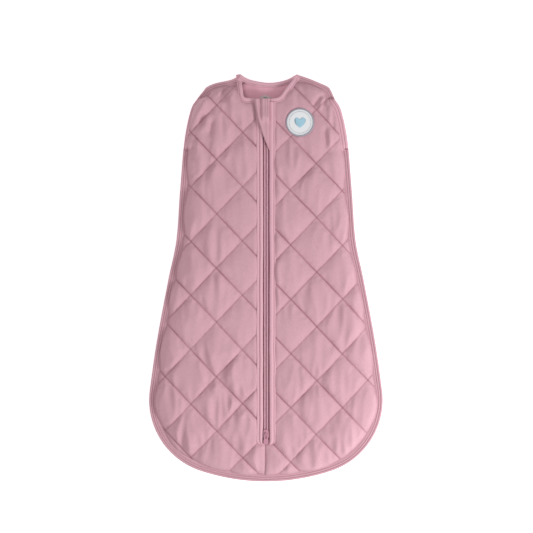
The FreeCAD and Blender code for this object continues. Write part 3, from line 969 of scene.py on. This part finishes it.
def zip_guard():
    """The soft strip behind the chain, its edges lifted a little."""
    y = np.arange(SLOT_END_Y, FRONT_NECK_Y - 3, 4.0)
    x = 0.4 * ripples_along(y, 50.0, 91)
    flat = np.column_stack([x, y, np.zeros(len(y))])
    top = [(-11.8, 12.6), (-9, 12.9), (0, 12.9), (9, 12.9)]
    under = [(11.8, 12.6), (9, 12.2), (0, 12.1), (-9, 12.2)]
    return sweep("zip_guard_strip", flat, closed_curve(top + under))


# --------------------------------------------------------------------- chin flap
FLAP_TOP_Y = 285.0
FLAP_TIP_Y = 202.0
FLAP_ROOT_X = 8.4
FLAP_FOLD_X = 4.3
FLAP_ROOT_Z = 18.9
FLAP_CREST_Z = 23.8
FLAP_PLEATS = ((-9.0, 1.7), (-2.0, 1.4), (1.6, 1.0))
FLAP_THICK = 1.4
FLAP_GAP = 0.35
UPPER_PIN_Y = 273.0
UPPER_PULL_SWING = math.radians(10)


def flap_edge(t):
    """X of the flap's free edge, from the top (0) to the tip (1)."""
    return -18.6 + 8.0 * t + 16.0 * t**2


def flap_pleat(x, t):
    """Depth of the flap's pleats, from 1 in a pleat at the top to 0 between them and towards the tip."""
    return math.exp(-4 * t) * sum(math.exp(-(((x - at) / width) ** 2)) for at, width in FLAP_PLEATS)


def flap_height(x, t, u):
    """Height of the flap: out of the placket's fold, up over the slider and down to the free edge."""
    rise = smoothstep((FLAP_FOLD_X + 0.6 - x) / 3.6)
    crest = FLAP_CREST_Z - 1.6 * smoothstep((t - 0.3) / 0.7)
    pinch = -2.4 * flap_pleat(x, t)
    sag = -1.8 * math.sin(math.pi * min(u, 1)) * (1 - t)
    rolled = 1.5 * math.exp(-(((0.88 - u) / 0.1) ** 2)) - 0.9 * math.exp(-(((1 - u) / 0.05) ** 2))
    ridge = 0.9 * math.exp(-(((x - FLAP_FOLD_X + 1.6) / 1.1) ** 2))
    return FLAP_ROOT_Z + (crest - FLAP_ROOT_Z + pinch + sag) * rise + rolled + ridge


def clear_of_pull(x, y, z, t):
    """The flap's height, raised where the upper pull would reach it at the end of its swing."""
    low, high = (np.array(corner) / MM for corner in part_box("upper_slider_pull"))
    top_z = max(high[2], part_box("upper_slider_body")[1][2] / MM)
    reach = min(max(UPPER_PIN_Y - y, 0), UPPER_PIN_Y - low[1])
    needed = top_z + reach * math.tan(UPPER_PULL_SWING) + FLAP_GAP + FLAP_THICK
    needed += 1.2 * (math.exp(-4 * t) - flap_pleat(x, t))
    over = smoothstep((high[0] + 1.7 - x) / 1.3) * smoothstep((x - low[0] + 6.0) / 5.4)
    above = smoothstep((y - low[1] + 12.0) / 11.0)
    return z + over * above * max(needed - z, 0)


def chin_flap():
    """The tapered flap over the upper slider: a soft double layer that arches over it."""
    rows, columns = 48, 44
    top, low = [], []
    for n in range(rows + 1):
        t = n / rows
        left = flap_edge(t)
        y = FLAP_TOP_Y + (FLAP_TIP_Y - FLAP_TOP_Y) * t
        for m in range(columns + 1):
            u = m / columns
            x = FLAP_ROOT_X + (left - FLAP_ROOT_X) * u
            z = clear_of_pull(x, y, flap_height(x, t, u) + 0.3 * ripple(x * 2, y, 20.0, 95), t)
            top.append((x, y, z))
            low.append((x, y, z - FLAP_THICK))
    quads = []
    for n in range(rows):
        for m in range(columns):
            a = n * (columns + 1) + m
            quads.append((a, a + 1, a + columns + 2, a + columns + 1))
    pad = pad_of("chin_flap_cloth", np.array(top), np.array(low), np.array(quads))
    outward(pad)
    return pad


# ------------------------------------------------------------------- chest patch
def on_patch(radius, turn, rise):
    """A point of the patch, from its distance and angle from the middle, and its height on the disc."""
    x, y = PATCH_XY[0] + radius * math.cos(turn), PATCH_XY[1] + radius * math.sin(turn)
    return x, y, PATCH_Z + rise + patch_bow(x, y)


def patch_disc():
    """The patch's twill disc, bowed slightly over the quilting."""
    rings, turns = 12, 72
    verts = [(*PATCH_XY, PATCH_Z + 1.25)]
    for r in range(1, rings + 1):
        radius = (PATCH_R - 0.6) * r / rings
        for k in range(turns):
            verts.append(on_patch(radius, 2 * math.pi * k / turns, 1.0 - 0.25 * (r / rings) ** 6))
    faces = [(0, 1 + k, 1 + (k + 1) % turns) for k in range(turns)]
    for r in range(rings - 1):
        faces += ring_quads(1 + r * turns, 1 + (r + 1) * turns, turns)
    top = np.array(verts)
    count = len(top)
    under = [tuple(v + count for v in reversed(f)) for f in faces]
    rim = ring_quads(count - turns, 2 * count - turns, turns)
    return outward(mesh_object("patch_twill", np.vstack([top, top - [0, 0, 0.8]]), faces + under + rim))


def ring_quads(inner, outer, count):
    """Quads between two rings of points that start at two indices."""
    return [(inner + k, outer + k, outer + (k + 1) % count, inner + (k + 1) % count) for k in range(count)]


def patch_bow(x, y):
    """Slow unevenness of the patch, in millimetres."""
    return 0.3 * ripple(x, y, 26.0, 97)


def patch_border():
    """The patch's overlocked edge: slanting wraps of thread side by side."""
    half = PATCH_RIM / 2
    verts, faces = [], []
    for k in range(WRAPS):
        a = 2 * math.pi * k / WRAPS
        centre = []
        for t in np.linspace(0, math.pi, 6):
            radius = PATCH_R - half + half * math.cos(t)
            centre.append(on_patch(radius, a + WRAP_LEAN * t / math.pi, 0.35 + 1.35 * math.sin(t)))
        faces += tube_faces(len(centre), WIRE_SIDES, start=len(verts))
        verts += list(tube(centre, (-math.sin(a), math.cos(a), 0), WRAP_RADIUS))
    return outward(mesh_object("patch_edge_thread", verts, faces))


def heart_half_width(v):
    """Half width of the plain heart at height v, as (inner, outer)."""
    lobe = MOTIF / 4
    if v >= 0:
        reach = math.sqrt(max(lobe**2 - v**2, 0))
        return max(lobe - reach, 0), lobe + reach
    t = min(-v / MOTIF_DEPTH, 1)
    return 0.0, 2 * lobe * math.cos(t * math.pi / 2) ** 0.8


def patch_motif():
    """A plain heart worked in satin stitch: threads side by side across it."""
    starts, ends = [], []
    for v in np.arange(0.3 - MOTIF_DEPTH, MOTIF / 4, SATIN_PITCH):
        inner, outer = heart_half_width(v)
        x, y = PATCH_XY[0], PATCH_XY[1] + v + MOTIF_RISE
        rise = PATCH_Z + 1.35 + patch_bow(x, y)
        spans = [(-outer, outer)] if inner < 0.4 else [(-outer, -inner), (inner, outer)]
        for left, right in spans:
            if right - left > 0.8:
                starts.append((x + left, y, rise))
                ends.append((x + right, y, rise))
    return thread("patch_heart_thread", starts, ends, SATIN_RADIUS)


def patch_ring():
    """A dashed ring of stitches round the motif."""
    turn = 2 * math.pi / DASHES
    starts, ends = (
        [on_patch(PATCH_R - DASH_INSET, turn * (k + share), 1.15) for k in range(DASHES)]
        for share in (0, DASH_SHARE)
    )
    return thread("patch_ring_thread", starts, ends, 0.32)


# --------------------------------------------------------------------- materials
def srgb(red, green, blue):
    """A linear colour from 0 to 255 screen values."""
    values = [v / 255 for v in (red, green, blue)]
    return tuple(v / 12.92 if v <= 0.04045 else ((v + 0.055) / 1.055) ** 2.4 for v in values) + (1.0,)


class Finish:
    """Builds one node material round a Principled shader."""

    def __init__(self, name, roughness, sheen=0.0, coat=0.0):
        self.material = bpy.data.materials.new(name)
        self.material.use_nodes = True
        self.nodes = self.material.node_tree.nodes
        self.links = self.material.node_tree.links
        self.shader = self.nodes["Principled BSDF"]
        self.shader.inputs["Roughness"].default_value = roughness
        self.shader.inputs["Sheen Weight"].default_value = sheen
        self.shader.inputs["Sheen Roughness"].default_value = 0.45
        self.shader.inputs["Coat Weight"].default_value = coat
        self.place = self.nodes.new("ShaderNodeTexCoord").outputs["Object"]

    def node(self, kind, inputs=None, **settings):
        """A node with its settings, and its inputs set or linked."""
        made = self.nodes.new(kind)
        for key, value in settings.items():
            setattr(made, key, value)
        for key, value in (inputs or {}).items():
            if isinstance(value, bpy.types.NodeSocket):
                self.links.new(value, made.inputs[key])
            else:
                made.inputs[key].default_value = value
        return made

    def noise(self, size, detail=2.0, stretch=(1, 1, 1)):
        """Noise with features of about size millimetres, from 0 to 1."""
        mapping = self.node("ShaderNodeMapping", {"Vector": self.place, "Scale": stretch})
        inputs = {"Vector": mapping.outputs["Vector"], "Scale": 1 / (size * MM), "Detail": detail}
        return self.node("ShaderNodeTexNoise", inputs).outputs["Fac"]

    def bands(self, period, direction, distortion=0.0):
        """Smooth bands across X, Y or Z, period millimetres apart."""
        scale = 2 * math.pi / (20 * period * MM)
        inputs = {"Vector": self.place, "Scale": scale, "Distortion": distortion}
        return self.node("ShaderNodeTexWave", inputs, bands_direction=direction).outputs["Fac"]

    def knit(self, wale, course):
        """Height of a jersey's face: columns of slanting loops, from 0 to about 1."""
        parts = self.node("ShaderNodeSeparateXYZ", {0: self.wavy(0.35)})
        across = self.math("PINGPONG", parts.outputs[0], wale * MM / 2)
        leaning = self.math("ADD", parts.outputs[1], self.math("MULTIPLY", across, 1.5))
        turn = self.math("MULTIPLY", leaning, 2 * math.pi / (course * MM))
        loops = self.math("MULTIPLY", self.math("SINE", turn, 0), 0.25)
        column = self.math("SINE", self.math("MULTIPLY", across, 2 * math.pi / (wale * MM)), 0)
        return self.math("ADD", self.math("MULTIPLY", column, 0.6), loops)

    def wavy(self, amount):
        """The place in space, shifted by up to amount millimetres, as cloth never lies dead straight."""
        inputs = {"Vector": self.place, "Scale": 1 / (9 * MM), "Detail": 1.0}
        drift = self.node("ShaderNodeTexNoise", inputs).outputs["Color"]
        scaled = self.node("ShaderNodeVectorMath", {0: drift, "Scale": 2 * amount * MM}, operation="SCALE")
        return self.node("ShaderNodeVectorMath", {0: self.place, 1: scaled.outputs[0]}).outputs[0]

    def math(self, operation, a, b):
        """One arithmetic step on two values."""
        return self.node("ShaderNodeMath", {0: a, 1: b}, operation=operation).outputs[0]

    def mix(self, share, a, b):
        """One colour into another."""
        made = self.node("ShaderNodeMix", {0: share}, data_type="RGBA")
        for socket, value in ((made.inputs[6], a), (made.inputs[7], b)):
            if isinstance(value, bpy.types.NodeSocket):
                self.links.new(value, socket)
            else:
                socket.default_value = value
        return made.outputs[2]

    def range(self, value, low, high, to_low, to_high):
        """A value carried from one range to another, held at its ends."""
        inputs = {0: value, 1: low, 2: high, 3: to_low, 4: to_high}
        return self.node("ShaderNodeMapRange", inputs).outputs[0]

    def colour(self, value):
        """The base colour, linked or plain."""
        socket = self.shader.inputs["Base Color"]
        if isinstance(value, bpy.types.NodeSocket):
            self.links.new(value, socket)
        else:
            socket.default_value = value

    def bump(self, height, depth, strength=1.0):
        """Bump of a real depth in millimetres."""
        made = self.node("ShaderNodeBump", {"Height": height, "Distance": depth * MM, "Strength": strength})
        self.links.new(made.outputs["Normal"], self.shader.inputs["Normal"])


def shift(colour, factor):
    """A colour made lighter or darker."""
    return tuple(min(1.0, c * factor) for c in colour[:3]) + (1.0,)


def jersey(name, colour, wale=1.15, quilted=False):
    """Single jersey: fine wales and courses and a heathered colour, with painted shade in the low parts of
    the knit and, on quilted cloth, painted shade along the sunk stitched lines.
    """
    f = Finish(name, 0.9, sheen=0.06)
    f.shader.inputs["Sheen Tint"].default_value = (1.0, 0.85, 0.9, 1.0)
    heather = f.range(f.noise(1.6, 3.0, (1, 0.35, 1)), 0.3, 0.7, 0.0, 1.0)
    slow = f.range(f.noise(55.0, 3.0), 0.3, 0.7, 0.0, 1.0)
    base = f.mix(heather, shift(colour, 0.94), shift(colour, 1.05))
    base = f.mix(f.math("MULTIPLY", slow, 0.5), base, shift(colour, 0.92))
    knit = f.knit(wale, wale * 0.72)
    relief = f.math("ADD", knit, f.math("MULTIPLY", f.noise(0.7, 2.0), 0.55))
    # Painted shade: the colour is darkened where the knit's relief is low.
    base = f.mix(f.range(knit, 0.0, 0.5, 0.32, 0.0), base, painted_shade_of(colour))
    if quilted:
        # Painted shade along the quilting lines: a soft dark within about 3 mm of each line and a deeper
        # dark on it, varied in strength across the panel.
        line_shade_amount = f.range(f.noise(34.0, 1.0), 0.38, 0.62, 0.5, 1.0)
        for gap, soft, deep in zip(line_distances(f), (0.42, 0.32), (0.72, 0.3)):
            near = f.math("MULTIPLY", f.range(gap, 0.2, 2.8, soft, 0.0), line_shade_amount)
            base = f.mix(near, base, painted_shade_of(colour))
            on = f.math("MULTIPLY", f.range(gap, 0.1, 1.0, deep, 0.0), line_shade_amount)
            base = f.mix(on, base, painted_shade_of(painted_shade_of(colour)))
    f.colour(base)
    f.bump(relief, 0.12, 0.6)
    return f.material


def line_distances(f):
    """Distances in millimetres to the nearest quilting line of each direction."""
    place = f.node("ShaderNodeAttribute", attribute_name="quilt").outputs["Vector"]
    parts = f.node("ShaderNodeSeparateXYZ", {0: place})
    return [f.math("MULTIPLY", f.math("PINGPONG", parts.outputs[k], 0.5), SPACING) for k in (0, 1)]


def painted_shade_of(colour):
    """Painted shade: the saturated dark that a colour takes where the same cloth lies in shade in a crease.
    """
    return (colour[0] * 0.60, colour[1] * 0.42, colour[2] * 0.48, 1.0)


def rib(name, colour, pitch=1.6):
    """Fine rib knit for bindings."""
    f = Finish(name, 0.9, sheen=0.28)
    ridges = f.bands(pitch, "X", 0.4)
    heather = f.noise(1.4, 3.0)
    # Painted light and shade: lighter on the ribs and darker between them, following the bump.
    base = f.mix(f.math("MULTIPLY", ridges, 0.35), shift(colour, 0.94), shift(colour, 1.05))
    base = f.mix(f.range(heather, 0.3, 0.7, 0.0, 0.35), base, shift(colour, 0.86))
    f.colour(base)
    f.bump(f.math("ADD", ridges, f.math("MULTIPLY", heather, 0.6)), 0.12, 0.6)
    return f.material


def twill(name, colour, pitch=0.9):
    """Woven twill: slanting ribs with a crosswise weave."""
    f = Finish(name, 0.8, sheen=0.12)
    slant = f.bands(pitch, "DIAGONAL", 0.2)
    cross = f.bands(pitch * 0.6, "Y", 0.2)
    weave = f.math("MULTIPLY", slant, cross)
    # Painted light and shade: darker in the hollows of the weave and lighter on its raised threads,
    # following the bump.
    f.colour(f.mix(weave, shift(colour, 0.86), shift(colour, 1.04)))
    f.bump(weave, 0.10, 0.7)
    return f.material


def spun(name, colour):
    """Sewing thread: fine twist along a slightly glossy strand."""
    f = Finish(name, 0.55, sheen=0.2)
    twist = f.bands(0.5, "DIAGONAL", 0.5)
    # Painted light and shade: darker in the grooves of the twist and lighter on its strands, following the
    # bump.
    f.colour(f.mix(twist, shift(colour, 0.85), shift(colour, 1.08)))
    f.bump(twist, 0.05, 0.6)
    return f.material


def nylon(name, colour):
    """Moulded coil: smooth plastic with slight unevenness of colour."""
    f = Finish(name, 0.5)
    f.shader.inputs["Specular IOR Level"].default_value = 0.3
    f.colour(f.mix(f.range(f.noise(2.5, 2.0), 0.3, 0.7, 0, 1), shift(colour, 0.93), shift(colour, 1.05)))
    f.bump(f.noise(0.5, 2.0), 0.02, 0.5)
    return f.material


def enamel(name, colour):
    """Baked enamel on cast zinc: soft gloss, faint orange peel, rubbed a little darker in places."""
    f = Finish(name, 0.24, coat=0.5)
    rubbed = f.range(f.noise(1.8, 4.0), 0.55, 0.75, 0.0, 0.5)
    f.colour(f.mix(rubbed, colour, shift(colour, 0.8)))
    f.bump(f.noise(0.7, 2.0), 0.02, 0.4)
    return f.material


def printed_label(name, ink, cloth):
    """A transfer-printed ring with a small plain dot, on the lining's own colour."""
    f = Finish(name, 0.85, sheen=0.15)
    middle = [v / 2 for v in map(sum, zip(*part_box("neck_label")))]
    away = f.node("ShaderNodeVectorMath", {0: f.place, 1: middle}, operation="SUBTRACT").outputs[0]
    flat = f.node("ShaderNodeVectorMath", {0: away, 1: (1, 1, 0)}, operation="MULTIPLY").outputs[0]
    radius = f.node("ShaderNodeVectorMath", {0: flat}, operation="LENGTH").outputs["Value"]
    ring = f.math("LESS_THAN", f.math("ABSOLUTE", f.math("SUBTRACT", radius, 0.0106), 0), 0.0011)
    dot_at = f.node("ShaderNodeVectorMath", {0: flat, 1: (0, 0.0072, 0)}, operation="SUBTRACT").outputs[0]
    oval = f.node("ShaderNodeVectorMath", {0: dot_at, 1: (0.55, 1.3, 0)}, operation="MULTIPLY").outputs[0]
    reach = f.node("ShaderNodeVectorMath", {0: oval}, operation="LENGTH").outputs["Value"]
    base = f.mix(ring, cloth, ink)
    f.colour(f.mix(f.math("LESS_THAN", reach, 0.0019), base, srgb(96, 164, 140)))
    f.bump(f.noise(0.9, 2.0), 0.05, 0.5)
    return f.material


PINK = srgb(200, 159, 169)
LINING_PINK = srgb(226, 172, 186)
BINDING_PINK = srgb(213, 168, 180)
THREAD_PINK = srgb(170, 122, 135)
QUILTING_PINK = srgb(166, 116, 130)
TAPE_PINK = srgb(150, 86, 106)
COIL_PINK = srgb(222, 176, 189)
ENAMEL_PINK = srgb(184, 132, 148)


def dress(obj, material, slot_name, *stands_for):
    """Gives a piece its material, lets it ride on the bag, and replaces its nodes; slot_name is not used."""
    obj.data.materials.append(material)
    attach(obj, "bag")
    if stands_for:
        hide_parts(*stands_for)
    return obj


def dress_sewn(pieces, material, stitches, slot_name, *stands_for):
    """dress() for a piece and for the thread in it."""
    piece, sewn = pieces
    dress(piece, material, slot_name, *stands_for)
    dress(sewn, stitches, slot_name)
    return piece


def repaint(node, material, bevel=0.0):
    """A better material on a CAD node that is shown, with its edges eased."""
    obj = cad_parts[node]
    if not obj.material_slots:
        obj.data.materials.append(material)
    for slot in obj.material_slots:
        slot.material = material
    if bevel:
        ease = obj.modifiers.new("eased_edges", "BEVEL")
        ease.width = bevel * MM
        ease.segments = 3
        ease.limit_method = "ANGLE"
        ease.harden_normals = False


# ---------------------------------------------------------------------- assembly
def build_quilts(shell, stitches):
    """The three quilted panels."""
    for side, node in ((-1, LEFT_NODE), (1, RIGHT_NODE)):
        half = f"front_{WORD[side]}"
        pieces = quilt_front(f"{half}_quilt", side, node)
        pad = dress_sewn(pieces, shell, stitches, "shell_knit", f"{half}_shell", f"{half}_wadding")
    pad = dress_sewn(quilt_back(), shell, stitches, "shell_knit", "back_shell", "back_wadding")


def build_linings(cloth):
    """The three linings, as cut sheets."""
    for side, node, flat in ((-1, LEFT_NODE, (0.177, 0.626)), (1, RIGHT_NODE, (0.181, 0.632))):
        half = f"front_{WORD[side]}"
        region = front_region(side, node)
        sheet, area = thin_sheet(f"{half}_lining_cloth", node, region, lining_height(node))
        dress(sheet, cloth, "lining_knit", f"{half}_lining")
    sheet, area = thin_sheet("back_lining_cloth", BACK_NODE, back_lining_region, back_lining_height)
    dress(sheet, cloth, "lining_knit", "back_lining")


def build_edges(shell, binding, stitches):
    """The hem band, shoulder seams, armhole and neck bindings."""
    low = edge_piece("hem_band_cloth", stretch(OUTLINE, HEM_Y - 1, ARMHOLE[0]), 101.0)
    dress_sewn(low, shell, stitches, "shell_knit", "hem_band")
    for side, word in WORD.items():
        above = stretch(OUTLINE, ARMHOLE[1], NECK_Y + 1, side)
        seam = edge_piece(f"shoulder_seam_cloth_{word}", above, 111.0 + side)
        dress_sewn(seam, shell, stitches, "shell_knit", f"shoulder_seam_{word}")
        front, back, sewn = armhole(side)
        dress(front, binding, "binding_rib", f"armhole_binding_{word}_front")
        dress(back, binding, "binding_rib", f"armhole_binding_{word}_back")
        dress(sewn, stitches, "binding_rib")
        for end, y in zip(("lower", "upper"), ARMHOLE):
            dress(bartack(f"armhole_bartack_{word}_{end}", OUTLINE, y, side), stitches, "binding_rib")
    from_middle = FRONT_NECK[:, 0]
    low_run = np.abs(FRONT_NECK[:, 1] - FRONT_NECK_Y) < 4
    for side, word in WORD.items():
        keep = (from_middle * side > SLOT_HALF * 0.45) | (~low_run & (from_middle * side > 0))
        half = front_binding(f"neck_binding_cloth_{word}", FRONT_NECK[keep], 121.0 + side)
        dress_sewn(half, binding, stitches, "binding_rib", f"neck_binding_{word}")
    dress_sewn(back_binding(), binding, stitches, "binding_rib", "neck_binding_back")


def build_zip(binding, lining, stitches, tape, coil, paint):
    """Everything at the zip."""
    for side, word in WORD.items():
        dress_sewn(placket(side), binding, stitches, "binding_rib", f"zip_facing_{word}")
        dress(zip_coil(side), coil, "zip_coil", f"zip_coil_{word}")
        repaint(f"zip_tape_{word}", tape)
    repaint("zip_top_stops", coil, 0.3)
    repaint("zip_bottom_stop", coil, 0.2)
    guard = dress(zip_guard(), lining, "lining_knit", "zip_guard")
    for node in ("upper_slider_body", "upper_slider_pull", "lower_slider_body", "lower_slider_pull"):
        repaint(node, paint, 0.18)


def build_flap(shell):
    """The chin flap, which turns over at its sewn edge."""
    flap = chin_flap()
    flap.data.materials.append(shell)
    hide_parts("chin_flap")
    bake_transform(flap)


def build_patch(white, grey, slate, blue):
    """The round chest patch."""
    dress(patch_disc(), white, "patch_twill", "patch_base")
    dress(patch_border(), grey, "patch_thread", "patch_rim")
    dress(patch_motif(), blue, "heart_felt", "patch_heart")
    dress(patch_ring(), slate, "patch_thread")


def stage():
    """Pale floor, soft studio light and a camera straight above."""
    bpy.ops.mesh.primitive_plane_add(size=8.0, location=(0, 0, -0.0002))
    floor = bpy.context.object
    floor.name = "studio_floor"
    paper = bpy.data.materials.new("studio_paper")
    paper.use_nodes = True
    table = paper.node_tree.nodes["Principled BSDF"]
    table.inputs["Base Color"].default_value = (0.93, 0.93, 0.93, 1)
    table.inputs["Roughness"].default_value = 0.9
    table.inputs["Emission Color"].default_value = (1, 1, 1, 1)
    table.inputs["Emission Strength"].default_value = 0.45
    floor.data.materials.append(paper)

    world = bpy.data.worlds.new("studio")
    world.use_nodes = True
    world.node_tree.nodes["Background"].inputs["Color"].default_value = (1, 0.93, 0.955, 1)
    world.node_tree.nodes["Background"].inputs["Strength"].default_value = 0.6
    bpy.context.scene.world = world

    for name, place, size, power in (
        ("key_light", (1.05, -0.68, 0.85), 0.5, 17.5),
        ("fill_light", (-0.9, 0.5, 1.8), 1.6, 7.0),
    ):
        light = bpy.data.lights.new(name, "AREA")
        light.size = size
        light.energy = power
        lamp = bpy.data.objects.new(name, light)
        lamp.location = place
        lamp.rotation_euler = (Vector((0, 0, 0)) - Vector(place)).to_track_quat("-Z", "Y").to_euler()
        bpy.context.scene.collection.objects.link(lamp)

    lens = bpy.data.cameras.new("camera")
    lens.lens = 85.0
    lens.sensor_width = 36.0
    camera = bpy.data.objects.new("camera", lens)
    camera.location = (0.0008, 0.0176, 2.024)
    bpy.context.scene.collection.objects.link(camera)
    bpy.context.scene.camera = camera
    bpy.context.scene.view_settings.view_transform = "Standard"


quilt_knit = jersey("quilted_jersey", PINK, quilted=True)
shell_knit = jersey("shell_jersey", PINK)
lining_knit = jersey("lining_jersey", LINING_PINK, wale=1.3)
binding_rib = rib("binding_rib_knit", BINDING_PINK)
pink_thread = spun("pink_thread", THREAD_PINK)

build_quilts(quilt_knit, spun("quilting_thread", QUILTING_PINK))
build_linings(lining_knit)
build_edges(shell_knit, binding_rib, pink_thread)
build_zip(
    binding_rib,
    lining_knit,
    pink_thread,
    twill("zip_tape_twill", TAPE_PINK),
    nylon("coil_nylon", COIL_PINK),
    enamel("slider_enamel", ENAMEL_PINK),
)
build_flap(shell_knit)
build_patch(
    twill("patch_cotton_twill", srgb(228, 234, 235), 0.7),
    spun("grey_thread", srgb(166, 168, 178)),
    spun("slate_thread", srgb(104, 110, 120)),
    spun("blue_thread", srgb(162, 205, 220)),
)
repaint("neck_label", printed_label("label_print", srgb(196, 190, 190), LINING_PINK))
repaint("snap_studs", nylon("snap_acetal", ENAMEL_PINK), 0.15)
repaint("snap_sockets", bpy.data.materials["snap_acetal"], 0.15)
stage()
